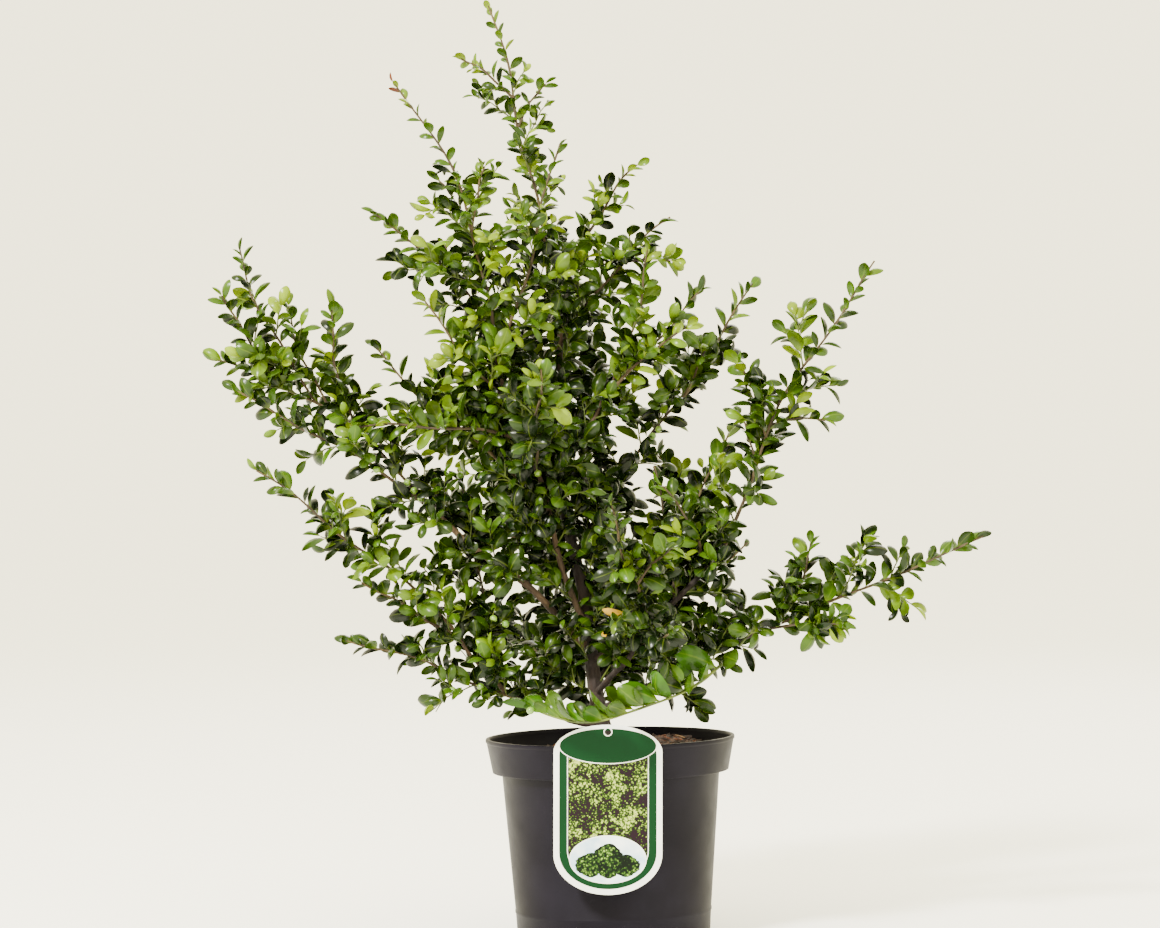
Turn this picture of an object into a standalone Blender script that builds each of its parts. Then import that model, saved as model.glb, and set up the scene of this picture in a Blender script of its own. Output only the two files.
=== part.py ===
"""A potted convexa Japanese holly: a young evergreen shrub in a plastic nursery pot.

Units are metres, with +Z up. The origin is the centre of the pot's flat underside, and -Y is
the side that the label hangs on.

The solids are the pot, its soil, the label, the trunk, the boughs and the foliage masses. A
bough is one tapering limb that ends where it enters a mass. A mass is one solid: a stem with
side shoots, twigs that branch from them by a seeded rule, and leaves fused on. Each mass keeps
to its own space, which is all that lies nearer to its own shoots than to those of any other
mass, and clear of the boughs, the pot and the label.
"""

import bisect
import math
import random

import bmesh
import bpy
import numpy as np
from mathutils import Matrix, Vector

# Pieces that touch are modelled this far apart.
GAP = 0.0003

# The pot is a 19 cm nursery container of about three litres.
POT_HEIGHT = 0.150
POT_FOOT_RADIUS = 0.0735
POT_BODY_TOP_RADIUS = 0.083
POT_WALL = 0.0015
POT_FOOT_BEVEL = 0.0012
BAND_HEIGHT = 0.026
BAND_FOOT_RADIUS = 0.090
BAND_TOP_RADIUS = 0.0942
RIM_RADIUS = 0.095
RIM_WIDTH = 0.0028
LIP_HEIGHT = 0.003
POT_SIDES = 36
DRAIN_COUNT = 8
DRAIN_RADIUS = 0.0045
DRAIN_CIRCLE = 0.058
DRAIN_SIDES = 6

# Potting soil
SOIL_LEVEL = 0.138
SOIL_EDGE_DROP = 0.002
SOIL_LUMP = 0.0012
SOIL_FLAT_RADIUS = 0.022
SOIL_RING_RADIUS = 0.056
SOIL_EDGE_STEP = 0.0012

# The label is a plastic card with a domed head, hooked over the rim.
CARD_WIDTH = 0.080
CARD_TOP = 0.166
CARD_BOTTOM = 0.041
CARD_DOME = 0.020
CARD_THICKNESS = 0.0008
CARD_CENTRE_X = -0.002
CARD_LEAN = math.radians(1.2)
CARD_HOLE_RADIUS = 0.0025
CARD_HOLE_DEPTH = 0.0052
CARD_ARC_STEPS = 10
CARD_HOLE_SIDES = 12
TONGUE_WIDTH = 0.014
TONGUE_THICKNESS = 0.0008
TONGUE_CLEARANCE = 0.0032

# Wood
TRUNK_FOOT = (0.001, 0.000, SOIL_LEVEL + GAP)
TRUNK_TIP = (-0.031, 0.008, 0.413)
TRUNK_BOW = (-0.0095, 0.000, 0.000)
TRUNK_RADII = (0.0066, 0.0027)
FLARE = 0.75
FLARE_HEIGHT = 0.0055
TRUNK_LOBE = 0.015
TRUNK_SIDES = 10
TRUNK_STEP = 0.014
BOUGH_SIDES = 6
BOUGH_STEP = 0.032
BOUGH_TAPER = 0.62
WANDER = 0.014

# Each bough: its parent, where along the parent it leaves, its tip, how far its middle bows
# off the straight line, and its radius at the foot.
BOUGHS = {
    "bough_leader": ("trunk", 1.00, (-0.042, 0.005, 0.522), (0.002, 0, 0), 0.0026),
    "bough_front": ("trunk", 0.36, (-0.082, -0.032, 0.450), (-0.002, -0.008, 0), 0.0024),
    "bough_left": ("trunk", 0.30, (-0.146, -0.040, 0.338), (0, -0.004, 0.005), 0.0030),
    "bough_low_left": ("trunk", 0.08, (-0.079, -0.020, 0.187), (0, 0, -0.003), 0.0030),
    "bough_low_left_end": ("bough_low_left", 1.00, (-0.120, -0.036, 0.240), (0, 0, -0.002), 0.0019),
    "bough_low_right": ("trunk", 0.12, (0.108, -0.045, 0.228), (0, -0.003, 0.001), 0.0028),
    "bough_right": ("trunk", 0.26, (0.089, -0.042, 0.295), (0, -0.004, -0.009), 0.0028),
    "bough_mid_right": ("trunk", 0.56, (0.020, 0.030, 0.358), (0, 0.003, -0.003), 0.0023),
    "bough_high_right": ("trunk", 0.82, (-0.001, -0.012, 0.406), (0.003, -0.002, 0), 0.0020),
    "bough_back_left": ("trunk", 0.40, (-0.065, 0.075, 0.325), (0, 0.006, -0.006), 0.0024),
    "bough_back_right": ("trunk", 0.20, (0.050, 0.080, 0.280), (0, 0.006, -0.010), 0.0026),
    "bough_back_low": ("trunk", 0.10, (-0.015, 0.085, 0.205), (0, 0.004, -0.004), 0.0027),
    "bough_back_high": ("trunk", 0.70, (-0.025, 0.060, 0.420), (0, 0.008, -0.004), 0.0021),
    "bough_front_low": ("trunk", 0.17, (0.030, -0.075, 0.240), (0, -0.006, -0.004), 0.0025),
}

# Each mass: its parent, where along the parent its stem starts, the stem's tip, the bow of its
# middle, and its side shoots as pairs of place along the stem and tip.
MASSES = {
    "foliage_top": ("bough_leader", 1.0, (-0.083, 0.005, 0.716), (0.004, 0, 0),
                    [(0.62, (-0.108, -0.004, 0.672)), (0.50, (-0.036, 0.012, 0.655))]),
    "foliage_upper_left": ("bough_front", 1.0, (-0.155, -0.045, 0.653), (0.018, 0, 0),
                           [(0.42, (-0.084, -0.060, 0.587)), (0.46, (-0.125, -0.020, 0.580))]),
    "foliage_upper_front": ("bough_front", 0.93, (-0.027, -0.038, 0.605), (0, -0.008, 0), []),
    "foliage_high_left": ("trunk", 0.84, (-0.172, -0.030, 0.554), (0, 0, 0.025),
                          [(0.55, (-0.120, -0.004, 0.532))]),
    "foliage_mid_left": ("bough_front", 0.80, (-0.139, -0.040, 0.491), (0, -0.004, -0.004), []),
    "foliage_left": ("bough_left", 1.0, (-0.282, -0.062, 0.422), (0, 0, 0.004), []),
    "foliage_left_fan": ("bough_left", 0.94, (-0.300, -0.038, 0.446), (0, 0.010, 0.020),
                         [(0.50, (-0.275, -0.030, 0.532)), (0.60, (-0.287, -0.056, 0.494)),
                          (0.44, (-0.240, -0.012, 0.488)), (0.33, (-0.203, -0.050, 0.483))]),
    "foliage_inner_left": ("bough_front", 0.46, (-0.179, -0.018, 0.457), (0, 0, -0.008),
                           [(0.62, (-0.112, -0.010, 0.440))]),
    "foliage_front_left": ("bough_front", 0.66, (-0.189, -0.070, 0.389), (0, -0.006, 0.006), []),
    "foliage_low_left": ("bough_low_left_end", 1.0, (-0.264, -0.070, 0.362), (0, 0, 0.006), []),
    "foliage_low_left_spur": ("bough_low_left_end", 0.86, (-0.188, -0.066, 0.276), (0, 0, 0), []),
    "foliage_base_left": ("bough_low_left", 0.86, (-0.202, -0.072, 0.233), (0, 0, 0.003), []),
    "foliage_inner_riser": ("bough_low_left_end", 0.42, (-0.113, 0.000, 0.362), (0.006, 0.006, 0), []),
    "foliage_high_riser": ("bough_leader", 0.65, (0.033, 0.016, 0.592), (0, 0, 0.012), []),
    "foliage_high_right": ("bough_leader", 0.35, (0.058, -0.008, 0.549), (0, 0, 0.010),
                           [(0.55, (0.060, 0.010, 0.512))]),
    "foliage_upper_right": ("bough_high_right", 1.0, (0.068, -0.046, 0.463), (0, 0, 0.004),
                            [(0.16, (0.079, -0.016, 0.492)), (0.08, (0.038, -0.030, 0.530))]),
    "foliage_mid_right": ("bough_mid_right", 1.0, (0.122, 0.056, 0.501), (0, 0, -0.006),
                          [(0.42, (0.084, 0.026, 0.456)), (0.55, (0.098, 0.078, 0.452))]),
    "foliage_right": ("bough_right", 1.0, (0.206, -0.070, 0.510), (-0.008, 0, 0.004),
                      [(0.40, (0.171, -0.062, 0.387)), (0.36, (0.099, -0.066, 0.436)),
                       (0.26, (0.101, -0.030, 0.398))]),
    "foliage_low_right": ("bough_low_right", 1.0, (0.286, -0.080, 0.302), (0, 0, -0.002),
                          [(0.10, (0.155, -0.055, 0.301)), (0.06, (0.176, -0.086, 0.236))]),
    "foliage_front_arch": ("bough_low_right", 0.95, (-0.061, -0.118, 0.178), (0, -0.038, -0.026), []),
    "foliage_right_inner": ("bough_right", 0.62, (0.097, -0.006, 0.376), (-0.010, 0.006, 0), []),
    "foliage_right_front": ("bough_right", 0.80, (0.040, -0.062, 0.346), (0.010, -0.008, 0), []),
    "foliage_centre_riser": ("bough_low_right", 0.42, (0.037, -0.022, 0.362), (0.010, 0.004, 0), []),
    "foliage_back_left": ("bough_back_left", 1.0, (-0.120, 0.165, 0.415), (0, 0.006, -0.006),
                          [(0.40, (-0.060, 0.160, 0.400))]),
    "foliage_back_left_low": ("bough_back_left", 0.72, (-0.150, 0.112, 0.346), (0, 0.004, -0.006), []),
    "foliage_back_right": ("bough_back_right", 1.0, (0.105, 0.172, 0.385), (0, 0.008, -0.008),
                           [(0.40, (0.040, 0.165, 0.370))]),
    "foliage_back_right_low": ("bough_back_right", 0.70, (0.118, 0.112, 0.296), (0, 0.004, -0.006), []),
    "foliage_back_low": ("bough_back_low", 1.0, (-0.030, 0.215, 0.262), (0, 0, -0.006),
                         [(0.45, (0.028, 0.185, 0.290))]),
    "foliage_back_low_left": ("bough_back_low", 0.78, (-0.108, 0.160, 0.238), (0, 0.006, -0.004), []),
    "foliage_back_low_right": ("bough_back_low", 0.62, (0.086, 0.165, 0.230), (0, 0.004, -0.004), []),
    "foliage_back_high": ("bough_back_high", 1.0, (-0.020, 0.128, 0.535), (0, 0.010, 0), []),
    "foliage_back_high_left": ("bough_back_high", 0.80, (-0.085, 0.106, 0.485), (0, 0.006, 0), []),
    "foliage_back_high_right": ("bough_back_high", 0.66, (0.030, 0.112, 0.455), (0, 0.006, -0.004), []),
    "foliage_front": ("bough_front_low", 1.0, (0.002, -0.190, 0.332), (0, -0.008, -0.006),
                      [(0.40, (0.050, -0.170, 0.300))]),
    "foliage_front_low": ("bough_front_low", 0.78, (0.046, -0.168, 0.238), (0, 0, -0.003), []),
    "foliage_front_high": ("bough_front", 0.56, (-0.045, -0.150, 0.430), (0, -0.010, 0), []),
}

# Shoots and twigs
STEM_RADIUS = 0.0013
SHOOT_RADIUS = 0.0010
TWIG_RADIUS = 0.0008
STEM_STEP = 0.032
TWIG_START = 0.16
TWIG_END = 0.74
TWIG_STEP = 0.036
TWIG_ANGLE = math.radians(50)
TWIG_LENGTHS = (0.018, 0.040)
GOLDEN_ANGLE = math.radians(137.5)

# Leaves
LEAF_LENGTH = 0.0275
LEAF_WIDTH = 0.54
LEAF_RISE = 0.10
LEAF_ROOT = -0.015
LEAF_STEP = 0.0130
LEAF_START = 0.10
LEAF_ANGLE = math.radians(52)
TIP_LEAF_ANGLE = math.radians(12)
TIP_LEAF_SCALE = 0.72
LAST_LEAF = 0.955
LEAF_SPREAD = 0.50
LEAF_TURN = 0.9

# How far a leaf or a twig stays inside its mass's own space, and clear of wood.
SPACE_MARGIN = 0.0006
WOOD_MARGIN = 0.0010
LOWEST_LEAF = POT_HEIGHT + 0.004
UP = Vector((0, 0, 1))


def plain_material(name, colour, roughness, metallic=0.0):
    """A Principled material of one colour, given as red, green and blue."""
    material = bpy.data.materials.new(name)
    material.use_nodes = True
    shader = material.node_tree.nodes["Principled BSDF"]
    shader.inputs["Base Color"].default_value = (*colour, 1.0)
    shader.inputs["Roughness"].default_value = roughness
    shader.inputs["Metallic"].default_value = metallic
    material.diffuse_color = (*colour, 1.0)
    return material


def add_object(name, points, faces, material, origin=(0, 0, 0), parent=None):
    """A mesh object from world points, with its own origin and its parent."""
    origin = Vector(origin)
    mesh = bpy.data.meshes.new(name)
    mesh.from_pydata([tuple(Vector(point) - origin) for point in points], [], faces)
    mesh.materials.append(material)
    obj = bpy.data.objects.new(name, mesh)
    obj.location = origin
    obj.parent = parent
    bpy.context.scene.collection.objects.link(obj)
    return obj


def shade_round(obj, sharp_degrees):
    obj.data.shade_smooth()
    obj.data.set_sharp_from_angle(angle=math.radians(sharp_degrees))


def turned(profile, sides):
    """Points and faces of a profile of (radius, height) turned about Z, from axis to axis."""
    points, faces, rings = [], [], []
    for radius, height in profile:
        first = len(points)
        count = 1 if radius == 0 else sides
        for side in range(count):
            angle = 2 * math.pi * side / sides
            points.append((radius * math.cos(angle), radius * math.sin(angle), height))
        rings.append([first + side % count for side in range(sides + 1)])
    for lower, upper in zip(rings, rings[1:]):
        for side in range(sides):
            corners = (lower[side], lower[side + 1], upper[side + 1], upper[side])
            faces.append(tuple(dict.fromkeys(corners)))
    return points, faces


def pot_outside():
    """The pot's outer profile from the centre of its foot to the top of its rim."""
    band_foot = POT_HEIGHT - BAND_HEIGHT
    lip_foot = POT_HEIGHT - LIP_HEIGHT
    return [
        (0, 0),
        (POT_FOOT_RADIUS - POT_FOOT_BEVEL, 0),
        (POT_FOOT_RADIUS, POT_FOOT_BEVEL),
        (POT_BODY_TOP_RADIUS, band_foot),
        (BAND_FOOT_RADIUS, band_foot),
        (BAND_TOP_RADIUS, lip_foot),
        (RIM_RADIUS, lip_foot + 0.0006),
        (RIM_RADIUS, POT_HEIGHT - 0.0005),
        (RIM_RADIUS - 0.0006, POT_HEIGHT),
    ]


def pot_inside(shrink=0.0):
    """The inner profile from the rim down to the floor's centre, moved inwards by shrink."""
    shelf = POT_HEIGHT - BAND_HEIGHT + POT_WALL
    floor = POT_WALL
    return [
        (BAND_TOP_RADIUS - POT_WALL - shrink, POT_HEIGHT - LIP_HEIGHT),
        (BAND_FOOT_RADIUS - POT_WALL - shrink, shelf + shrink),
        (POT_BODY_TOP_RADIUS - POT_WALL - shrink, shelf + shrink),
        (POT_FOOT_RADIUS - POT_WALL - shrink, floor + shrink),
        (0, floor + shrink),
    ]


def make_pot(parent):
    profile = pot_outside() + [(RIM_RADIUS - RIM_WIDTH, POT_HEIGHT)] + pot_inside()
    points, faces = turned(profile, POT_SIDES)
    black = plain_material("pot_plastic", (0.045, 0.040, 0.043), 0.45)
    pot = add_object("pot", points, faces, black, parent=parent)
    drains = make_drain_cutter(black, parent)
    holes = pot.modifiers.new("drain_holes", "BOOLEAN")
    holes.operation = "DIFFERENCE"
    holes.object = drains
    shade_round(pot, 35)
    return pot


def make_drain_cutter(material, parent):
    """Eight short pegs in a ring that cut the drain holes through the pot's floor."""
    peg, peg_faces = turned([(0, -POT_WALL), (DRAIN_RADIUS, -POT_WALL),
                             (DRAIN_RADIUS, 2 * POT_WALL), (0, 2 * POT_WALL)], DRAIN_SIDES)
    points, faces = [], []
    for index in range(DRAIN_COUNT):
        angle = 2 * math.pi * (index + 0.5) / DRAIN_COUNT
        x, y = DRAIN_CIRCLE * math.cos(angle), DRAIN_CIRCLE * math.sin(angle)
        faces += [tuple(corner + len(points) for corner in face) for face in peg_faces]
        points += [(px + x, py + y, pz) for px, py, pz in peg]
    cutter = add_object("drain_cutter", points, faces, material, parent=parent)
    cutter.hide_render = True
    cutter.display_type = "WIRE"
    return cutter


def soil_height(x, y):
    """The soil's top: flat round the trunk, then sinking to the edge with low lumps."""
    edge = BAND_FOOT_RADIUS - POT_WALL
    outward = max(0.0, math.hypot(x, y) - SOIL_FLAT_RADIUS) / (edge - SOIL_FLAT_RADIUS)
    lumps = math.sin(95 * x + 1.0) * math.sin(110 * y) + 0.6 * math.sin(170 * x - 140 * y)
    return SOIL_LEVEL - SOIL_EDGE_DROP * outward**2 - SOIL_LUMP * min(1.0, 3 * outward) * abs(lumps)


def make_soil(parent):
    """The soil fills the pot: the pot's inside, closed by a lumpy top of a few rings."""
    below = list(reversed(pot_inside(GAP)))[:-1]
    edge_radius = below[-1][0] + SOIL_EDGE_STEP
    rings = [edge_radius, SOIL_RING_RADIUS, SOIL_FLAT_RADIUS, 0]
    profile = below + [(radius, SOIL_LEVEL) for radius in rings]
    points, faces = turned(profile, POT_SIDES)
    lowest_top = SOIL_LEVEL - 0.5 * SOIL_EDGE_DROP
    points = [(x, y, soil_height(x, y)) if z > lowest_top else (x, y, z) for x, y, z in points]
    brown = plain_material("potting_soil", (0.10, 0.055, 0.035), 0.95)
    soil = add_object("soil", points, faces, brown, parent=parent)
    shade_round(soil, 50)
    return soil


def card_outline():
    """The card's edge: straight sides, a domed head and a half-round end, from the right shoulder."""
    half = CARD_WIDTH / 2
    height = CARD_TOP - CARD_BOTTOM
    corners = []
    for step in range(CARD_ARC_STEPS + 1):
        angle = math.pi * step / CARD_ARC_STEPS
        corners.append((half * math.cos(angle), CARD_DOME * (math.sin(angle) - 1)))
    for step in range(CARD_ARC_STEPS + 1):
        angle = math.pi * (1 + step / CARD_ARC_STEPS)
        corners.append((half * math.cos(angle), half * (1 + math.sin(angle)) - height))
    return corners


def make_card(parent):
    """The card, its hanging hole, and the tongue that hooks over the rim behind it."""
    back = -(RIM_RADIUS + GAP)
    front = back - CARD_THICKNESS
    outline = card_outline()
    count = len(outline)
    points = [(x, y, z) for y in (front, back) for x, z in outline]
    faces = [tuple(range(count)), tuple(range(2 * count - 1, count - 1, -1))]
    faces += [(i, i + count, (i + 1) % count + count, (i + 1) % count) for i in range(count)]
    turn = Matrix.Rotation(CARD_LEAN, 4, "Y")
    hang = Matrix.Translation((CARD_CENTRE_X, 0, CARD_TOP)) @ turn
    points = [tuple(hang @ Vector(point)) for point in points]
    white = plain_material("card_plastic", (0.85, 0.87, 0.85), 0.35)
    card = add_object("label", points, faces, white, parent=parent)

    hole_points, hole_faces = turned([(0, -0.004), (CARD_HOLE_RADIUS, -0.004),
                                      (CARD_HOLE_RADIUS, 0.004), (0, 0.004)], CARD_HOLE_SIDES)
    centre = hang @ Vector((0, (front + back) / 2, -CARD_HOLE_DEPTH))
    drill = Matrix.Translation(centre) @ Matrix.Rotation(math.pi / 2, 4, "X")
    hole_points = [tuple(drill @ Vector(point)) for point in hole_points]
    cutter = add_object("card_hole_cutter", hole_points, hole_faces, white, parent=parent)
    cutter.hide_render = True
    cutter.display_type = "WIRE"
    hole = card.modifiers.new("hanging_hole", "BOOLEAN")
    hole.operation = "DIFFERENCE"
    hole.object = cutter

    tongue = make_tongue(back, white, parent)
    joined = card.modifiers.new("tongue", "BOOLEAN")
    joined.operation = "UNION"
    joined.object = tongue
    return card


def make_tongue(back, material, parent):
    """A strip from the card's back, over the rim and down its inner side to the soil."""
    inner = -(BAND_TOP_RADIUS - POT_WALL - GAP)
    seat = POT_HEIGHT + GAP
    foot = SOIL_LEVEL - SOIL_EDGE_DROP + 4 * GAP
    run = [
        (back - CARD_THICKNESS / 2, seat),
        (inner + TONGUE_CLEARANCE, seat),
        (inner + TONGUE_CLEARANCE, foot),
        (inner + TONGUE_CLEARANCE + TONGUE_THICKNESS, foot),
        (inner + TONGUE_CLEARANCE + TONGUE_THICKNESS, seat + TONGUE_THICKNESS),
        (back - CARD_THICKNESS / 2, seat + TONGUE_THICKNESS),
    ]
    count = len(run)
    left = CARD_CENTRE_X - TONGUE_WIDTH / 2
    points = [(left + shift, y, z) for shift in (0, TONGUE_WIDTH) for y, z in run]
    faces = [tuple(range(count - 1, -1, -1)), tuple(range(count, 2 * count))]
    faces += [(i, (i + 1) % count, (i + 1) % count + count, i + count) for i in range(count)]
    strip = add_object("card_tongue_part", points, faces, material, parent=parent)
    strip.hide_render = True
    strip.display_type = "WIRE"
    return strip


class Limb:
    """A tapering limb that runs from its foot to its tip in one bow, with a slight wander.

    Its surface is a chain of straight pieces between rings. facing is the direction that the
    foot's flat face is square to.
    """

    def __init__(self, name, foot, facing, tip, bow, radii, step):
        self.name = name
        self.foot, self.tip, self.bow = Vector(foot), Vector(tip), Vector(bow)
        self.facing = Vector(facing).normalized()
        self.radii = radii
        self.length = (self.tip - self.foot).length
        self.phase = random.Random(name).uniform(0, 2 * math.pi)
        self.side = (self.tip - self.foot).orthogonal().normalized()
        self.other = (self.tip - self.foot).cross(self.side).normalized()
        self.places = self.ring_places(step)
        self.centres = [self.curve(place) for place in self.places]

    def curve(self, t):
        """The straight line, plus a parabola as high as the bow, plus two sines nil at the ends."""
        sway = WANDER * self.length * math.sin(math.pi * t)
        straight = self.foot + (self.tip - self.foot) * t
        wander = self.side * math.sin(7 * t + self.phase) + self.other * math.cos(9 * t + self.phase)
        return straight + self.bow * (4 * t * (1 - t)) + wander * sway

    def heading(self, t):
        ahead = self.curve(min(1.0, t + 0.01))
        behind = self.curve(max(0.0, t - 0.01))
        return (ahead - behind).normalized()

    def radius(self, t):
        foot_radius, tip_radius = self.radii
        return foot_radius + (tip_radius - foot_radius) * t**0.8

    def ring_places(self, step):
        """Even places about one step apart. A foot that is cut aslant has its next ring past the cut."""
        count = max(1, round(self.length / step))
        places = [index / count for index in range(count + 1)]
        square = self.facing.dot(self.heading(0.02))
        if square > 0.97:
            return places
        slant = math.sqrt(1 - square**2) / max(square, 0.25)
        second = self.radii[0] * (slant + 1.0) / self.length
        return [0.0, second] + [place for place in places if place > 1.5 * second]

    def point(self, t):
        """The middle of the tube at t, on the straight piece between its two rings."""
        last = len(self.places) - 1
        above = min(last, max(1, bisect.bisect_right(self.places, t)))
        low, high = self.places[above - 1], self.places[above]
        return self.centres[above - 1].lerp(self.centres[above], (t - low) / (high - low))

    def tube(self, sides, ring_shape=None):
        normals = [self.facing] + [self.heading(place) for place in self.places[1:]]
        radii = [self.radius(place) for place in self.places]
        return tube(self.centres, normals, radii, sides, ring_shape)


def branch(name, parent, at, tip, bow, radii, step):
    """A limb that leaves its parent's surface, or its tip, the gap clear of it."""
    start, along = parent.point(at), parent.heading(at)
    if at == 1.0:
        return Limb(name, start + along * GAP, along, tip, bow, radii, step)
    leaving = Vector(tip) + 4 * Vector(bow) - start
    outward = (leaving - along * leaving.dot(along)).normalized()
    foot = start + outward * (parent.radius(at) + GAP)
    return Limb(name, foot, outward, tip, bow, radii, step)


def tube(centres, normals, radii, sides, ring_shape=None):
    """Rings of points carried along the centres, joined into a closed tube with flat ends."""
    points, faces = [], []
    across = normals[0].orthogonal().normalized()
    for index, (centre, normal, radius) in enumerate(zip(centres, normals, radii)):
        across = (across - normal * across.dot(normal)).normalized()
        beside = normal.cross(across)
        for side in range(sides):
            angle = 2 * math.pi * side / sides
            reach = radius * (ring_shape(angle, index) if ring_shape else 1.0)
            points.append(centre + (across * math.cos(angle) + beside * math.sin(angle)) * reach)
    last = len(centres) - 1
    faces.append(tuple(range(sides - 1, -1, -1)))
    for index in range(last):
        low, high = index * sides, (index + 1) * sides
        for side in range(sides):
            turn = (side + 1) % sides
            faces.append((low + side, low + turn, high + turn, high + side))
    faces.append(tuple(range(last * sides, (last + 1) * sides)))
    return points, faces


def make_trunk(limb, material, parent):
    """The trunk: a lobed root flare that dies away a few centimetres above the soil."""
    heights = [centre.z - limb.foot.z for centre in limb.centres]

    def flared(angle, index):
        flare = FLARE * math.exp(-heights[index] / FLARE_HEIGHT)
        return 1 + flare * (0.7 + 0.3 * math.sin(3 * angle + 0.6)) + TRUNK_LOBE * math.sin(2 * angle + index)

    points, faces = limb.tube(TRUNK_SIDES, flared)
    trunk = add_object("trunk", points, faces, material, limb.foot, parent)
    shade_round(trunk, 60)
    return trunk


def pieces_of(limb):
    """The limb's straight pieces: their starts, ends and larger radii."""
    ends = [np.array(centre) for centre in limb.centres]
    radii = [limb.radius(place) for place in limb.places[:-1]]
    return list(zip(ends, ends[1:], radii))


class Space:
    """All shoots and wood as straight pieces, to tell whose space a point lies in."""

    def __init__(self, masses, wood):
        pieces, owners = [], []
        for number, shoots in enumerate(masses):
            for shoot in shoots:
                found = pieces_of(shoot)
                pieces += found
                owners += [number] * len(found)
        for limb in wood:
            found = pieces_of(limb)
            pieces += found
            owners += [-1] * len(found)
        self.start = np.array([piece[0] for piece in pieces])
        self.run = np.array([piece[1] for piece in pieces]) - self.start
        self.radius = np.array([piece[2] for piece in pieces])
        self.owner = np.array(owners)

    def allows(self, points, number):
        """Whether every point is in the mass's own space, clear of wood, pot and label."""
        points = np.array([tuple(point) for point in points])
        offset = points[:, None, :] - self.start[None, :, :]
        along = (offset * self.run).sum(axis=2) / (self.run**2).sum(axis=1)
        along = np.clip(along, 0, 1)
        away = np.linalg.norm(offset - along[:, :, None] * self.run, axis=2)
        own = away[:, self.owner == number].min(axis=1)
        others = away[:, (self.owner >= 0) & (self.owner != number)].min(axis=1)
        wood = self.owner < 0
        bark = (away[:, wood] - self.radius[wood]).min(axis=1)
        if (own + SPACE_MARGIN >= others - SPACE_MARGIN).any() or (bark < WOOD_MARGIN).any():
            return False
        return clear_of_pot(points)


def clear_of_pot(points):
    """No point is below the leaves' lowest level, or in the slab that the label stands in."""
    half_width = CARD_WIDTH / 2 + 0.006
    by_label = ((np.abs(points[:, 0] - CARD_CENTRE_X) < half_width)
                & (np.abs(points[:, 1] + RIM_RADIUS) < 0.006) & (points[:, 2] < CARD_TOP + 0.003))
    return not by_label.any() and points[:, 2].min() > LOWEST_LEAF


def leaf_template():
    """A leaf of unit length along +X: five points round a blunt oval, and a raised middle."""
    half = LEAF_WIDTH / 2
    points = [(LEAF_ROOT, 0, 0), (0.56, -half, 0), (0.95, -0.16, -0.05), (0.95, 0.16, -0.05),
              (0.56, half, 0), (0.50, 0, LEAF_RISE)]
    faces = [(0, 1, 5), (1, 2, 5), (2, 3, 5), (3, 4, 5), (4, 0, 5), (0, 4, 1), (4, 3, 2), (4, 2, 1)]
    return points, faces


def leaf_frame(root, heading, outward, length, angle, turn):
    """The leaf's place: it leans off the shoot by the angle, and its upper face looks at the tip
    and the sky, turned to one side by a little or a lot."""
    outward = outward + UP * (0.45 * (1 - abs(heading.z)))
    outward = (outward - heading * outward.dot(heading)).normalized()
    along = heading * math.cos(angle) + outward * math.sin(angle)
    upper = heading * 0.5 + UP * 0.3 + heading.cross(outward) * turn
    upper = (upper - along * upper.dot(along)).normalized()
    across = upper.cross(along)
    frame = Matrix((along, across, upper)).transposed().to_4x4()
    return Matrix.Translation(root) @ frame @ Matrix.Scale(length, 4)


def place_leaves(shoot, draw, start):
    """Leaves one step apart along a shoot, each turned a golden angle on, the last at its tip."""
    frames = []
    run = LAST_LEAF - start
    count = max(1, round(shoot.length * run / LEAF_STEP))
    turn = draw.uniform(0, 2 * math.pi)
    for index in range(count + 1):
        t = start + run * (index + draw.uniform(-0.2, 0.2)) / count
        t = min(max(t, start), LAST_LEAF)
        heading = shoot.heading(t)
        side = heading.orthogonal().normalized()
        turn += GOLDEN_ANGLE + draw.uniform(-0.3, 0.3)
        outward = side * math.cos(turn) + heading.cross(side) * math.sin(turn)
        size = LEAF_LENGTH * draw.uniform(0.85, 1.15) * (1 - (1 - TIP_LEAF_SCALE) * t**3)
        angle = LEAF_ANGLE if index < count else TIP_LEAF_ANGLE
        twist = draw.uniform(-LEAF_TURN, LEAF_TURN)
        frames.append(leaf_frame(shoot.point(t), heading, outward, size, angle, twist))
    return frames


def place_twigs(name, shoot, draw):
    """Twigs that leave a shoot by a golden-angle spiral, turned up towards the light."""
    twigs = []
    place = TWIG_START * shoot.length + draw.uniform(0, 0.5) * TWIG_STEP
    turn = draw.uniform(0, 2 * math.pi)
    while place < TWIG_END * shoot.length:
        t = place / shoot.length
        heading = shoot.heading(t)
        side = heading.orthogonal().normalized()
        outward = side * math.cos(turn) + heading.cross(side) * math.sin(turn) + UP * 0.35
        outward = (outward - heading * outward.dot(heading)).normalized()
        shortest, longest = TWIG_LENGTHS
        length = min(longest, max(shortest, 0.42 * (shoot.length - place))) * draw.uniform(0.8, 1.15)
        lean = heading * math.cos(TWIG_ANGLE) + outward * math.sin(TWIG_ANGLE)
        foot = shoot.point(t)
        twigs.append(Limb(f"{name}_{len(twigs)}", foot, lean, foot + lean * length, (0, 0, 0),
                          (TWIG_RADIUS, 0.7 * TWIG_RADIUS), STEM_STEP))
        place += TWIG_STEP * draw.uniform(0.8, 1.2)
        turn += GOLDEN_ANGLE + draw.uniform(-0.4, 0.4)
    return twigs


def leaf_short_of(foot, reach):
    """The tip of a shoot whose last leaf ends at the reach."""
    line = Vector(reach) - foot
    return foot + line * (1 - TIP_LEAF_SCALE * LEAF_LENGTH / line.length)


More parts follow.
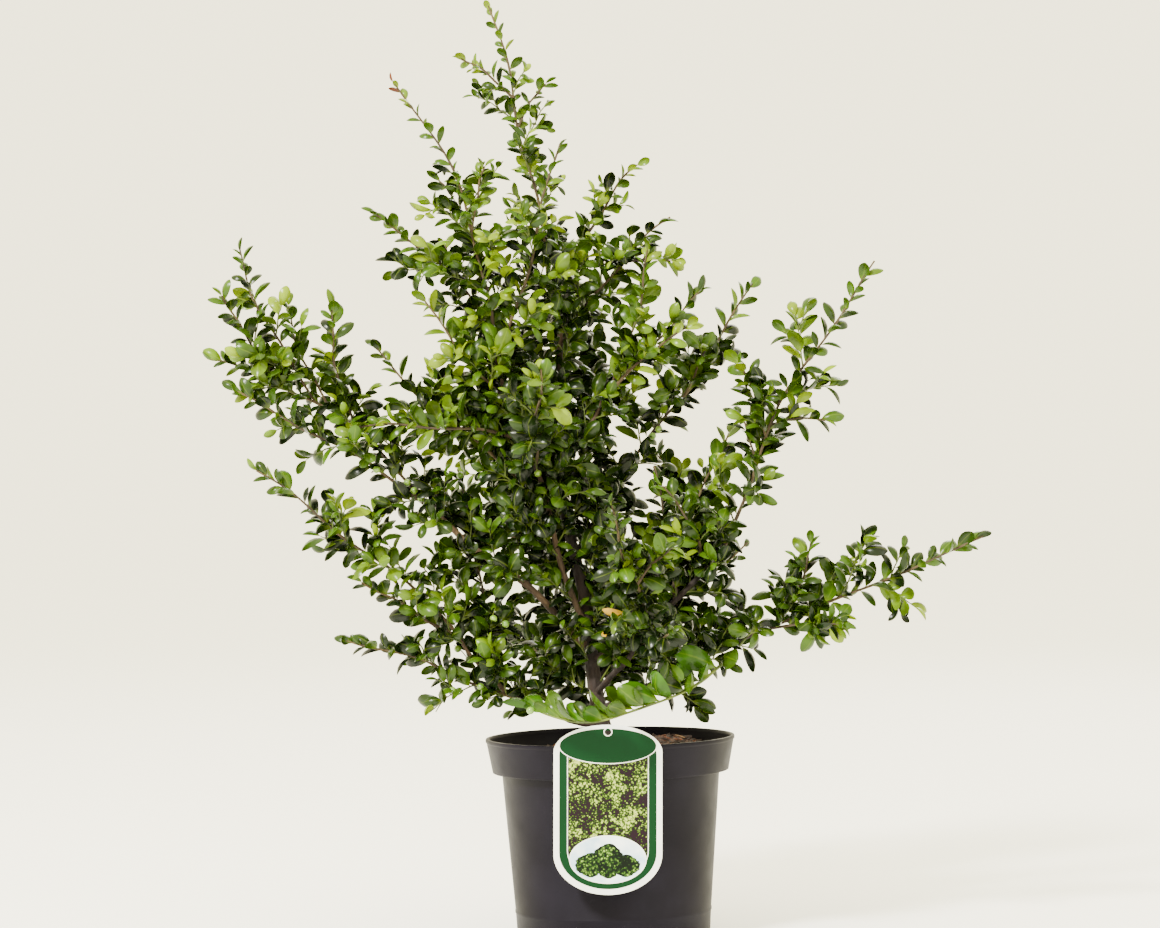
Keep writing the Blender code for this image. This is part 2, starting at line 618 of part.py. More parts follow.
def mass_shoots(name, parent, at, tip, bow, side_shoots):
    """A mass's stem, which meets its parent, and its side shoots, rooted inside the stem. The
    tips given are those of the last leaves, so the wood ends a leaf short of them."""
    tip = leaf_short_of(parent.point(at), tip)
    stem = branch(name, parent, at, tip, bow, (STEM_RADIUS, 0.6 * STEM_RADIUS), STEM_STEP)
    shoots = [stem]
    for index, (place, side_tip) in enumerate(side_shoots):
        foot = stem.point(place)
        side_tip = leaf_short_of(foot, side_tip)
        reach = side_tip - foot
        lift = stem.heading(place) * (0.08 * reach.length)
        shoots.append(Limb(f"{name}_side{index}", foot, reach, side_tip, lift,
                           (SHOOT_RADIUS, 0.7 * SHOOT_RADIUS), STEM_STEP))
    return shoots


def leaf_samples(frame, template):
    """The leaf's points and the middles of its edges, in the world."""
    corners = [frame @ Vector(point) for point in template[0]]
    middles = [(a + b) / 2 for a, b in zip(corners[1:], corners[2:])]
    return corners[1:] + middles


def grow(name, number, shoots, space, template):
    """The mass's twigs and the places of its leaves that keep to its own space."""
    draw = random.Random(name)
    twigs = []
    for index, shoot in enumerate(shoots):
        for twig in place_twigs(f"{name}_twig{index}", shoot, draw):
            samples = [twig.point(t) for t in (0.25, 0.5, 0.75, 1.0)]
            if space.allows(samples, number):
                twigs.append(twig)
    leaves, middles = [], []
    for carrier in shoots + twigs:
        start = 0.25 if carrier in twigs else LEAF_START
        for frame in place_leaves(carrier, draw, start):
            middle = frame @ Vector((0.6, 0, 0))
            nearest = min(((middle - other).length for other in middles), default=1.0)
            if nearest > LEAF_SPREAD * LEAF_LENGTH and space.allows(leaf_samples(frame, template), number):
                leaves.append(frame)
                middles.append(middle)
    return twigs, leaves


def keep_main_body(obj):
    """Drops loose scraps and the walls of sealed hollows: only the largest body stays."""
    mesh = bmesh.new()
    mesh.from_mesh(obj.data)
    unseen, bodies = set(mesh.faces), []
    while unseen:
        body, edge_faces = set(), [unseen.pop()]
        while edge_faces:
            face = edge_faces.pop()
            body.add(face)
            for edge in face.edges:
                for linked in edge.link_faces:
                    if linked in unseen:
                        unseen.discard(linked)
                        edge_faces.append(linked)
        bodies.append(body)
    bodies.sort(key=len)
    scraps = [face for body in bodies[:-1] for face in body]
    bmesh.ops.delete(mesh, geom=scraps, context="FACES")
    loose = [vertex for vertex in mesh.verts if not vertex.link_faces]
    bmesh.ops.delete(mesh, geom=loose, context="VERTS")
    mesh.to_mesh(obj.data)
    mesh.free()


def make_mass(name, shoots, twigs, leaves, template, material, parent):
    """One solid from the stem, with the side shoots, twigs and leaves fused on by one union."""
    stem, *sides = shoots
    points, faces = stem.tube(3)
    mass = add_object(name, points, faces, material, stem.foot, parent)
    parts = bpy.data.collections.new(f"{name}_parts")
    bpy.context.scene.collection.children.link(parts)
    for limb in sides + twigs:
        points, faces = limb.tube(3)
        mesh = bpy.data.meshes.new(limb.name)
        mesh.from_pydata([tuple(point) for point in points], [], faces)
        parts.objects.link(bpy.data.objects.new(limb.name, mesh))
    leaf_mesh = bpy.data.meshes.new("leaf")
    leaf_mesh.from_pydata(template[0], [], template[1])
    for index, frame in enumerate(leaves):
        leaf = bpy.data.objects.new(f"{name}_leaf{index}", leaf_mesh)
        leaf.matrix_world = frame
        parts.objects.link(leaf)

    union = mass.modifiers.new("joined", "BOOLEAN")
    union.operation = "UNION"
    union.operand_type = "COLLECTION"
    union.collection = parts
    graph = bpy.context.evaluated_depsgraph_get()
    joined = bpy.data.meshes.new_from_object(mass.evaluated_get(graph))
    mass.modifiers.clear()
    mass.data = joined
    for part in list(parts.objects):
        bpy.data.objects.remove(part)
    bpy.data.collections.remove(parts)
    keep_main_body(mass)
    return mass


def main():
    for old in list(bpy.data.objects):
        bpy.data.objects.remove(old)
    plant = bpy.data.objects.new("potted_holly", None)
    bpy.context.scene.collection.objects.link(plant)

    make_pot(plant)
    make_soil(plant)
    make_card(plant)

    bark = plain_material("bark", (0.22, 0.14, 0.09), 0.8)
    trunk = Limb("trunk", TRUNK_FOOT, UP, TRUNK_TIP, TRUNK_BOW, TRUNK_RADII, TRUNK_STEP)
    limbs = {"trunk": trunk}
    make_trunk(trunk, bark, plant)
    for name, (parent, at, tip, bow, radius) in BOUGHS.items():
        radii = (radius, BOUGH_TAPER * radius)
        limb = branch(name, limbs[parent], at, tip, bow, radii, BOUGH_STEP)
        limbs[name] = limb
        points, faces = limb.tube(BOUGH_SIDES)
        shade_round(add_object(name, points, faces, bark, limb.foot, plant), 60)

    masses = {name: mass_shoots(name, limbs[row[0]], *row[1:]) for name, row in MASSES.items()}
    space = Space(masses.values(), limbs.values())
    template = leaf_template()
    green = plain_material("holly_leaf", (0.06, 0.13, 0.03), 0.4)
    for number, (name, shoots) in enumerate(masses.items()):
        twigs, leaves = grow(name, number, shoots, space, template)
        make_mass(name, shoots, twigs, leaves, template, green, plant)


main()
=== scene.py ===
"""The looks of a potted convexa Japanese holly: bark, twigs, leaves, berries, soil and label.

Units are metres, with +Z up and -Y towards the camera. The limbs and shoots follow the rule that
the part's solids follow, written again here and carried to finer twigs within the same reach.
"""

import math
import random

import bmesh
import bpy
import numpy as np
from mathutils import Matrix, Vector


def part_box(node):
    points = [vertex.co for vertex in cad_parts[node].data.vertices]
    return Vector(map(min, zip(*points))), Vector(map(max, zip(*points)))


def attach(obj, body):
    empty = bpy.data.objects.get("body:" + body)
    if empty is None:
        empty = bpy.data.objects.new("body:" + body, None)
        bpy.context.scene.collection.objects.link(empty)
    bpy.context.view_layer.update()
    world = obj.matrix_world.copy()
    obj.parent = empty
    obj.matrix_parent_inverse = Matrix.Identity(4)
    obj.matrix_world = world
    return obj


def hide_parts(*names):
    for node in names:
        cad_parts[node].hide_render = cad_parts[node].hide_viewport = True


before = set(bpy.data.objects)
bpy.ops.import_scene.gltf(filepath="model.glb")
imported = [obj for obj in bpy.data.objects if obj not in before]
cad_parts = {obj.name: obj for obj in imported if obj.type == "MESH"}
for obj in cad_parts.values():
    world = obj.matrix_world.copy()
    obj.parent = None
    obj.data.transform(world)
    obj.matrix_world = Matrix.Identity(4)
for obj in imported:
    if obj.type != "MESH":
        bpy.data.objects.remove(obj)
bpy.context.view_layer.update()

# Sizes that the solids have too
GAP = 0.0003
POT_HEIGHT = 0.150
RIM_RADIUS = 0.095
BAND_TOP_RADIUS = 0.0942
BAND_FOOT_RADIUS = 0.090
POT_WALL = 0.0015
POT_FOOT_RADIUS = 0.0735
POT_FOOT_BEVEL = 0.0012
DRAIN_COUNT = 8
DRAIN_RADIUS = 0.0045
DRAIN_CIRCLE = 0.058
SOIL_LEVEL = 0.138
SOIL_EDGE_DROP = 0.002
SOIL_LUMP = 0.0012
SOIL_FLAT_RADIUS = 0.022
CARD_WIDTH = 0.080
CARD_TOP = 0.166
CARD_BOTTOM = 0.041
CARD_DOME = 0.020
CARD_END = 0.030
CARD_THICKNESS = 0.0008
CARD_CENTRE_X = -0.002
CARD_LEAN = math.radians(1.2)
CARD_HOLE_RADIUS = 0.0025
PICTURE_TOP = -0.018
CARD_HOLE_DEPTH = 0.0052
TONGUE_WIDTH = 0.014
TONGUE_CLEARANCE = 0.0032

TRUNK_FOOT = (0.001, 0.000, SOIL_LEVEL + GAP)
TRUNK_TIP = (-0.031, 0.008, 0.413)
TRUNK_BOW = (-0.0095, 0.000, 0.000)
TRUNK_RADII = (0.0066, 0.0027)
BOUGH_TAPER = 0.62
WANDER = 0.014

# The pot's wall as (radius, height): up the outside with a low hoop near the foot, over the rim,
# and down the inside. Each crease has a near twin, so that smooth shading keeps it crisp.
POT_PROFILE = [
    (0.0723, 0.0), (0.0735, 0.0012), (0.0736, 0.0020), (0.0745, 0.0170), (0.0750, 0.0176), (0.0750, 0.0194),
    (0.0747, 0.0200), (0.0829, 0.1232), (0.0830, 0.1237), (0.0834, 0.1240), (0.0895, 0.1240),
    (0.0900, 0.1243), (0.09015, 0.1252), (0.0941, 0.1462), (0.0943, 0.1470), (0.0949, 0.1474),
    (0.0950, 0.1480), (0.0950, 0.1492), (0.0947, 0.1499), (0.0942, 0.1500), (0.0925, 0.1500),
    (0.0922, 0.1497), (0.0926, 0.1470), (0.0887, 0.1262), (0.0882, 0.1256), (0.0818, 0.1255),
    (0.0814, 0.1250), (0.0722, 0.0020), (0.0718, 0.0012),
]

# Each bough: its parent, where along the parent it leaves, its tip, its bow and its foot radius.
BOUGHS = {
    "bough_leader": ("trunk", 1.00, (-0.042, 0.005, 0.522), (0.002, 0, 0), 0.0026),
    "bough_front": ("trunk", 0.36, (-0.082, -0.032, 0.450), (-0.002, -0.008, 0), 0.0024),
    "bough_left": ("trunk", 0.30, (-0.146, -0.040, 0.338), (0, -0.004, 0.005), 0.0030),
    "bough_low_left": ("trunk", 0.08, (-0.079, -0.020, 0.187), (0, 0, -0.003), 0.0030),
    "bough_low_left_end": ("bough_low_left", 1.00, (-0.120, -0.036, 0.240), (0, 0, -0.002), 0.0019),
    "bough_low_right": ("trunk", 0.12, (0.108, -0.045, 0.228), (0, -0.003, 0.001), 0.0028),
    "bough_right": ("trunk", 0.26, (0.089, -0.042, 0.295), (0, -0.004, -0.009), 0.0028),
    "bough_mid_right": ("trunk", 0.56, (0.020, 0.030, 0.358), (0, 0.003, -0.003), 0.0023),
    "bough_high_right": ("trunk", 0.82, (-0.001, -0.012, 0.406), (0.003, -0.002, 0), 0.0020),
    "bough_back_left": ("trunk", 0.40, (-0.065, 0.075, 0.325), (0, 0.006, -0.006), 0.0024),
    "bough_back_right": ("trunk", 0.20, (0.050, 0.080, 0.280), (0, 0.006, -0.010), 0.0026),
    "bough_back_low": ("trunk", 0.10, (-0.015, 0.085, 0.205), (0, 0.004, -0.004), 0.0027),
    "bough_back_high": ("trunk", 0.70, (-0.025, 0.060, 0.420), (0, 0.008, -0.004), 0.0021),
    "bough_front_low": ("trunk", 0.17, (0.030, -0.075, 0.240), (0, -0.006, -0.004), 0.0025),
}

# Each mass: its parent, where its stem starts, the stem's tip and bow, and its side shoots.
MASSES = {
    "foliage_top": ("bough_leader", 1.0, (-0.083, 0.005, 0.716), (0.004, 0, 0), [
        (0.62, (-0.108, -0.004, 0.672)), (0.50, (-0.036, 0.012, 0.655))]),
    "foliage_upper_left": ("bough_front", 1.0, (-0.155, -0.045, 0.653), (0.018, 0, 0), [
        (0.42, (-0.084, -0.060, 0.587)), (0.46, (-0.125, -0.020, 0.580))]),
    "foliage_upper_front": ("bough_front", 0.93, (-0.027, -0.038, 0.605), (0, -0.008, 0), []),
    "foliage_high_left": ("trunk", 0.84, (-0.172, -0.030, 0.554), (0, 0, 0.025), [
        (0.55, (-0.120, -0.004, 0.532))]),
    "foliage_mid_left": ("bough_front", 0.80, (-0.139, -0.040, 0.491), (0, -0.004, -0.004), []),
    "foliage_left": ("bough_left", 1.0, (-0.282, -0.062, 0.422), (0, 0, 0.004), []),
    "foliage_left_fan": ("bough_left", 0.94, (-0.300, -0.038, 0.446), (0, 0.010, 0.020), [
        (0.50, (-0.275, -0.030, 0.532)), (0.60, (-0.287, -0.056, 0.494)), (0.44, (-0.240, -0.012, 0.488)),
        (0.33, (-0.203, -0.050, 0.483))]),
    "foliage_inner_left": ("bough_front", 0.46, (-0.179, -0.018, 0.457), (0, 0, -0.008), [
        (0.62, (-0.112, -0.010, 0.440))]),
    "foliage_front_left": ("bough_front", 0.66, (-0.189, -0.070, 0.389), (0, -0.006, 0.006), []),
    "foliage_low_left": ("bough_low_left_end", 1.0, (-0.264, -0.070, 0.362), (0, 0, 0.006), []),
    "foliage_low_left_spur": ("bough_low_left_end", 0.86, (-0.188, -0.066, 0.276), (0, 0, 0), []),
    "foliage_base_left": ("bough_low_left", 0.86, (-0.202, -0.072, 0.233), (0, 0, 0.003), []),
    "foliage_inner_riser": ("bough_low_left_end", 0.42, (-0.113, 0.000, 0.362), (0.006, 0.006, 0), []),
    "foliage_high_riser": ("bough_leader", 0.65, (0.033, 0.016, 0.592), (0, 0, 0.012), []),
    "foliage_high_right": ("bough_leader", 0.35, (0.058, -0.008, 0.549), (0, 0, 0.010), [
        (0.55, (0.060, 0.010, 0.512))]),
    "foliage_upper_right": ("bough_high_right", 1.0, (0.068, -0.046, 0.463), (0, 0, 0.004), [
        (0.16, (0.079, -0.016, 0.492)), (0.08, (0.038, -0.030, 0.530))]),
    "foliage_mid_right": ("bough_mid_right", 1.0, (0.122, 0.056, 0.501), (0, 0, -0.006), [
        (0.42, (0.084, 0.026, 0.456)), (0.55, (0.098, 0.078, 0.452))]),
    "foliage_right": ("bough_right", 1.0, (0.206, -0.070, 0.510), (-0.008, 0, 0.004), [
        (0.40, (0.171, -0.062, 0.387)), (0.36, (0.099, -0.066, 0.436)), (0.26, (0.101, -0.030, 0.398))]),
    "foliage_low_right": ("bough_low_right", 1.0, (0.286, -0.080, 0.302), (0, 0, -0.002), [
        (0.10, (0.155, -0.055, 0.301)), (0.06, (0.176, -0.086, 0.236))]),
    "foliage_front_arch": ("bough_low_right", 0.95, (-0.061, -0.118, 0.178), (0, -0.038, -0.026), []),
    "foliage_right_inner": ("bough_right", 0.62, (0.097, -0.006, 0.376), (-0.010, 0.006, 0), []),
    "foliage_right_front": ("bough_right", 0.80, (0.040, -0.062, 0.346), (0.010, -0.008, 0), []),
    "foliage_centre_riser": ("bough_low_right", 0.42, (0.037, -0.022, 0.362), (0.010, 0.004, 0), []),
    "foliage_back_left": ("bough_back_left", 1.0, (-0.120, 0.165, 0.415), (0, 0.006, -0.006), [
        (0.40, (-0.060, 0.160, 0.400))]),
    "foliage_back_left_low": ("bough_back_left", 0.72, (-0.150, 0.112, 0.346), (0, 0.004, -0.006), []),
    "foliage_back_right": ("bough_back_right", 1.0, (0.105, 0.172, 0.385), (0, 0.008, -0.008), [
        (0.40, (0.040, 0.165, 0.370))]),
    "foliage_back_right_low": ("bough_back_right", 0.70, (0.118, 0.112, 0.296), (0, 0.004, -0.006), []),
    "foliage_back_low": ("bough_back_low", 1.0, (-0.030, 0.215, 0.262), (0, 0, -0.006), [
        (0.45, (0.028, 0.185, 0.290))]),
    "foliage_back_low_left": ("bough_back_low", 0.78, (-0.108, 0.160, 0.238), (0, 0.006, -0.004), []),
    "foliage_back_low_right": ("bough_back_low", 0.62, (0.086, 0.165, 0.230), (0, 0.004, -0.004), []),
    "foliage_back_high": ("bough_back_high", 1.0, (-0.020, 0.128, 0.535), (0, 0.010, 0), []),
    "foliage_back_high_left": ("bough_back_high", 0.80, (-0.085, 0.106, 0.485), (0, 0.006, 0), []),
    "foliage_back_high_right": ("bough_back_high", 0.66, (0.030, 0.112, 0.455), (0, 0.006, -0.004), []),
    "foliage_front": ("bough_front_low", 1.0, (0.002, -0.190, 0.332), (0, -0.008, -0.006), [
        (0.40, (0.050, -0.170, 0.300))]),
    "foliage_front_low": ("bough_front_low", 0.78, (0.046, -0.168, 0.238), (0, 0, -0.003), []),
    "foliage_front_high": ("bough_front", 0.56, (-0.045, -0.150, 0.430), (0, -0.010, 0), []),
}

# The stretches of wood that carry leafy twigs of their own
INNER_TWIGS = {
    "trunk": (0.10, 0.98), "bough_leader": (0.05, 0.97), "bough_front": (0.22, 0.97),
    "bough_left": (0.34, 0.97), "bough_low_left": (0.50, 0.98), "bough_low_left_end": (0.10, 0.95),
    "bough_low_right": (0.26, 0.97), "bough_right": (0.24, 0.97), "bough_mid_right": (0.20, 0.97),
    "bough_high_right": (0.15, 0.97), "bough_back_left": (0.30, 0.97), "bough_back_right": (0.30, 0.97),
    "bough_back_low": (0.35, 0.97), "bough_back_high": (0.20, 0.97), "bough_front_low": (0.35, 0.97),
}

# Shoots and twigs, finer than in the solids. A twig is as long as a share of what is left of its
# shoot, and in a mass of many shoots the twigs stand further apart. Here and below, SIZES, STEPS
# and ANGLES are the least and the greatest factor, and a slack is drawn to either side.
STEM_RADIUS = 0.0014
SHOOT_RADIUS = 0.0011
TWIG_RADIUS = 0.0007
STEM_TAPER = 0.5
TWIG_TAPER = 0.6
SHOOT_BOW = 0.08
TWIG_BOW = 0.06
TWIG_STEP = 0.0125
STEP_PER_SHOOT = 0.5
TWIG_ANGLE = math.radians(48)
TWIG_RISE = 0.60
TWIG_SHARE = 0.40
TWIG_LENGTHS = (0.016, 0.042)
TWIG_SIZES = (0.7, 1.2)
TWIG_STEPS = (0.7, 1.3)
TWIG_TURN_SLACK = 0.4
TWIG_STRETCH = (0.06, 0.64)
FINE_TWIGS_FROM = 0.030
FINE_STRETCH = (0.3, 0.8)
INNER_LENGTHS = (0.028, 0.070)
INNER_STEP = 0.0085
GOLDEN_ANGLE = math.radians(137.5)
UP = Vector((0, 0, 1))

# Leaves. They shrink and close up towards a shoot's tip, and are smaller high in the crown.
LEAF_LENGTH = 0.0182
LEAF_SIZES = (0.72, 1.25)
LEAF_STEP = 0.0046
LEAF_STEP_SLACK = 0.2
LEAF_TURN_SLACK = 0.3
FIRST_LEAF = {"shoot": 0.10, "twig": 0.12, "inner twig": 0.15}
LEAF_ANGLE = math.radians(44)
LEAF_ANGLES = (0.8, 1.25)
LEAF_TURN = 0.65
LEAF_RISE = 0.75
TIP_LEAF_LOSS = 0.28
TIP_LEAF_CLOSING = 0.75
TIP_LEAF_SHARE = 0.35
HIGH_LEAF_LOSS = 0.32
SMALLER_ABOVE = 0.46
SMALLER_OVER = 0.16
REACH_MARGIN = 0.008
LOWEST_LEAF = POT_HEIGHT + 0.003
OFF_LABEL = (0.004, 0.005, 0.002)
OFF_WOOD = 0.0012

# Shades of the leaves, from the oldest, 0, to the youngest, 4, which also stand for painted shade deep and
# low in the crown and painted light high in it
LEAF_TINTS = ["0A1603", "1A2C04", "2C4405", "435A05", "5E7206"]
# The inner twigs' leaves take the darkest shades as painted shade deep in the crown
SHADES = {"shoot": (1, 1, 1, 2), "twig": (0, 1, 1, 2, 2, 3), "inner twig": (0, 0, 0, 1, 1)}
SHADE_CHANGES = (-1, 0, 0, 0, 1)
YOUNG_AFTER = 0.80
# Painted light: above this height a share of the carriers' leaves is made one shade paler
PAINTED_LIGHT_ABOVE = 0.40
PAINTED_LIGHT_SHARE = 0.5
# Painted shade: below this height and near the trunk the carriers' leaves are made one shade darker
PAINTED_SHADE_BELOW = 0.27
PAINTED_SHADE_WITHIN = 0.10

# Tints that only a few leaves have: bright on the front arch, whose leaves are also larger and
# stand up more, yellow near the foot, and rusty at the upper left tip
RARE_TINTS = {"bright": "284A02", "yellow": "96740A", "rust": "4E240E"}
ARCH = "foliage_front_arch"
ARCH_LEAF_SIZE = 1.5
ARCH_LEAF_RISE = 2.4
ARCH_PALEST = 2
BRIGHT_SHARE = 0.4
YELLOW_BELOW = 0.25
YELLOW_WITHIN = 0.05
YELLOW_SHARE = 0.012
RUSTY_ABOVE = 0.60
RUSTY_LEFT_OF = -0.13
RUSTY_SHARE = 0.25

# How far apart the rings of points lie in each skin, and how many points a ring has
TRUNK_SKIN = (0.0018, 30)
BOUGH_SKIN = (0.0022, 16)
STEM_SKIN = (0.004, 7)
TWIG_SKIN = (0.004, 5)
ARCH_SKIN = (0.004, 8)
STALK_SKIN = (0.003, 5)
POT_SIDES = 144

# Boughs with the paler bark of young wood
YOUNG_BOUGHS = ["bough_left", "bough_low_left_end", "bough_leader", "bough_front", "bough_high_right"]

# Where the green berries show, in pixels of the photograph
BERRIES = [(459, 474), (440, 492), (424, 487), (413, 481), (362, 484), (556, 476), (545, 468), (663, 443),
           (660, 428), (447, 682), (468, 686), (515, 716), (458, 640), (489, 610), (511, 631)]
BERRY_RADIUS = 0.0028
BERRY_DROP = 0.0065
DEEP_BEHIND = -0.02
DEPTH_COST = 0.15
STALK_RADIUS = 0.00045

# The soil's crumbs, the heap at the back right, and chips of bark with their number and their dark
# and pale colours. A chip's sizes are halves, and the pale chips are thin fibres.
CRUMB_LIFT = 0.0012
CRUMB_HEIGHT = 0.0007
CRUMB_RADII = (0.0035, 0.0893)
HEAP_HEIGHT = 0.007
HEAP_PLACE = (0.045, 0.055)
HEAP_WIDTH = 0.038
CHIPS = {"dark_chip": (420, "1C110B", "382216"), "red_chip": (300, "4E2A18", "72442A"),
         "pale_chip": (130, "765A3E", "A08058")}
CHIP_REACH = 0.084
CHIP_LIFT = 0.0004
CHIP_SIZES = ((0.001, 0.0042), (0.0004, 0.0014), (0.0003, 0.0008))
FIBRE_LENGTHS = (0.002, 0.005)
FIBRE_THICKNESS = 0.0003
CHIP_CORNERS = np.array([(i, j, k) for i in (-1, 1) for j in (-1, 1) for k in (-1, 1)], float)
CHIP_SIDES = np.array([(0, 1, 3, 2), (4, 6, 7, 5), (0, 4, 5, 1), (2, 3, 7, 6), (0, 2, 6, 4), (1, 5, 7, 3)])

# The label's print. Heights are measured from the card's top, and an ellipse is (height, half its
# width, half its height). Each bush is (place across, place up, half its width, half its height).
INK_THICKNESS = 0.00006
GREEN_INSET = 0.0042
PICTURE_INSETS = (0.0100, 0.0106)
HEAD_LINE = (-0.0155, 0.0362, 0.0134)
HEAD = (-0.0155, 0.0355, 0.0127)
HOLE_RING = (-CARD_HOLE_DEPTH, 0.0033, 0.0033)
INSET_LINE = (-0.0990, 0.0285, 0.0178)
INSET = (-0.0990, 0.0278, 0.0171)
INSET_BUSHES = [(-0.0130, -0.1030, 0.0108, 0.0086), (0.0125, -0.1035, 0.0112, 0.0078),
                (0.0000, -0.1000, 0.0118, 0.0124)]
BUSH_WAVE = 0.0006
LEAFY_PRINT = [(0.50, "180C14"), (0.57, "0A1208"), (0.64, "22380C"), (0.73, "5A7420"), (0.86, "A4AE58")]
BUSH_PRINT = [(0.52, "060E06"), (0.63, "12280C"), (0.76, "38561A"), (0.90, "86A048")]
SKY_PRINT = [(0.4, "A9C4D8"), (0.8, "E4EDF0")]

# The photograph's view. A pixel's size and the frame's width are those at the pot's axis.
CAMERA_DISTANCE = 2.6
CAMERA_PLACE = (-0.0187, -CAMERA_DISTANCE, 0.358)
CAMERA_TURN = 0.0201
SENSOR_WIDTH = 36
FRAME_WIDTH = 0.885
PHOTO_MIDDLE = (580, 464)
PIXEL_SIZE = 0.000763

# The studio. Each light has its place, its aim, its width, its power and its colour.
STUDIO_COLOUR = "F5ECC6"
FLOOR_COLOUR = "F1F1F1"
FLOOR_REACH = 40
FLOOR_GLOW = 0.11
WORLD_LIGHT = 4.1
LIGHTS = {
    "key": ((-1.6, -2.2, 2.4), (0, 0, 0.35), 0.5, 360, (1.0, 0.97, 0.90)),
    "fill": ((2.4, -1.8, 1.2), (0, 0, 0.35), 1.6, 24, (0.95, 0.98, 1.0)),
    "back": ((0.8, 2.4, 2.2), (0, 0, 0.4), 1.4, 45, (1.0, 1.0, 0.97)),
}


def linear(code):
    """Red, green and blue, as light, of an sRGB hex colour."""
    values = [int(code[i:i + 2], 16) / 255 for i in (0, 2, 4)]
    return [v / 12.92 if v <= 0.04045 else ((v + 0.055) / 1.055) ** 2.4 for v in values] + [1.0]


def shade_of(code, factor):
    """A hex colour made darker or lighter by a factor."""
    values = [min(255, round(int(code[i:i + 2], 16) * factor)) for i in (0, 2, 4)]
    return "".join(f"{value:02X}" for value in values)


def add_node(tree, kind, settings, links=()):
    """A shader node. A setting is one of its options, an input by name or number, or "stops", the
    places and hex colours of a ramp. Each link is (input, socket)."""
    node = tree.nodes.new(kind)
    for key, value in settings.items():
        if key == "stops":
            elements = node.color_ramp.elements
            while len(elements) < len(value):
                elements.new(0.5)
            for element, (place, code) in zip(elements, value):
                element.position = place
                element.color = linear(code)
        elif isinstance(key, str) and hasattr(node, key):
            setattr(node, key, value)
        else:
            node.inputs[key].default_value = value
    for target, socket in links:
        tree.links.new(socket, node.inputs[target])
    return node


def new_finish(name, roughness, gloss=0.5, coat=0.0):
    """A Principled material with an even roughness, gloss and coat, and its tree and shader."""
    material = bpy.data.materials.new(name)
    material.use_nodes = True
    tree = material.node_tree
    shader = tree.nodes["Principled BSDF"]
    shader.inputs["Roughness"].default_value = roughness
    shader.inputs["Specular IOR Level"].default_value = gloss
    shader.inputs["Coat Weight"].default_value = coat
    return material, tree, shader


def spots(tree, grain, detail, drawn_out=1.0):
    """Soft spots one grain across, in metres, and longer up and down where drawn out, from 0 to 1."""
    place = add_node(tree, "ShaderNodeTexCoord", {})
    counted = add_node(tree, "ShaderNodeMapping", {"Scale": (1 / grain, 1 / grain, 1 / (grain * drawn_out))},
                       [("Vector", place.outputs["Object"])])
    cloud = add_node(tree, "ShaderNodeTexNoise", {"Scale": 1.0, "Detail": detail},
                     [("Vector", counted.outputs["Vector"])])
    return cloud.outputs["Fac"]


def mottle(tree, grain, detail, stops, drawn_out=1.0):
    """A colour that changes in spots, over stops of (place from 0 to 1, hex colour)."""
    colours = add_node(tree, "ShaderNodeValToRGB", {"stops": stops},
                       [("Fac", spots(tree, grain, detail, drawn_out))])
    return colours.outputs["Color"]


def roughen(tree, shader, grain, detail, strength, depth, drawn_out=1.0):
    """A relief of spots, as high as the depth."""
    relief = add_node(tree, "ShaderNodeBump", {"Strength": strength, "Distance": depth},
                      [("Height", spots(tree, grain, detail, drawn_out))])
    tree.links.new(relief.outputs["Normal"], shader.inputs["Normal"])


def leaf_material(name, code):
    """A holly leaf, grown with a waxy skin, which gives it a low, broad shine. Its green changes in
    clouds of 18 mm, a leaf's length, and pales at the base and along the midrib. The skin's real
    grain of some 0.3 mm is too fine to show and is drawn 2.4 mm wide."""
    material, tree, shader = new_finish(name, 0.27, gloss=0.20)
    green = mottle(tree, 0.01818, 2.0, [(0.3, shade_of(code, 0.78)), (0.7, shade_of(code, 1.22))])
    flat = add_node(tree, "ShaderNodeUVMap", {})
    spot = add_node(tree, "ShaderNodeSeparateXYZ", {}, [("Vector", flat.outputs["UV"])])
    base = add_node(tree, "ShaderNodeMapRange",
                    {"From Min": 0.02, "From Max": 0.30, "To Min": 0.5, "To Max": 0.0},
                    [("Value", spot.outputs["X"])])
    aside = add_node(tree, "ShaderNodeMath", {"operation": "SUBTRACT", 1: 0.5}, [(0, spot.outputs["Y"])])
    off_rib = add_node(tree, "ShaderNodeMath", {"operation": "ABSOLUTE"}, [(0, aside.outputs[0])])
    rib = add_node(tree, "ShaderNodeMapRange",
                   {"From Min": 0.01, "From Max": 0.06, "To Min": 0.22, "To Max": 0.0},
                   [("Value", off_rib.outputs[0])])
    pale = add_node(tree, "ShaderNodeMath", {"operation": "MAXIMUM"},
                    [(0, base.outputs[0]), (1, rib.outputs[0])])
    whole = add_node(tree, "ShaderNodeMix", {"data_type": "RGBA", 7: linear("6A7E14")},
                     [(0, pale.outputs[0]), (6, green)])
    tree.links.new(whole.outputs[2], shader.inputs["Base Color"])
    roughen(tree, shader, 0.002381, 2.0, 0.25, 0.0006)
    return material


def bark_material(name, dark, middle, pale):
    """Thin bark, grown and weathered, which leaves it matt, with streaks along the limb. They are
    17 mm wide and 55 mm long. Real cracks lie about 1 mm apart and are drawn 4 mm apart."""
    material, tree, shader = new_finish(name, 0.85)
    streaks = mottle(tree, 0.01667, 6.0, [(0.28, dark), (0.5, middle), (0.72, pale)], drawn_out=3.333)
    tree.links.new(streaks, shader.inputs["Base Color"])
    roughen(tree, shader, 0.003846, 6.0, 1.0, 0.0020, drawn_out=2.5)
    return material


def broken_material(name, grain, roughness, depth, stops):
    """Potting soil or bark, milled and left raw, which is dull, mottled and rough all over. The
    colour changes once a grain, and the relief twice."""
    material, tree, shader = new_finish(name, roughness)
    tree.links.new(mottle(tree, grain, 8.0, stops), shader.inputs["Base Color"])
    roughen(tree, shader, grain / 2, 6.0, 0.8, depth)
    return material


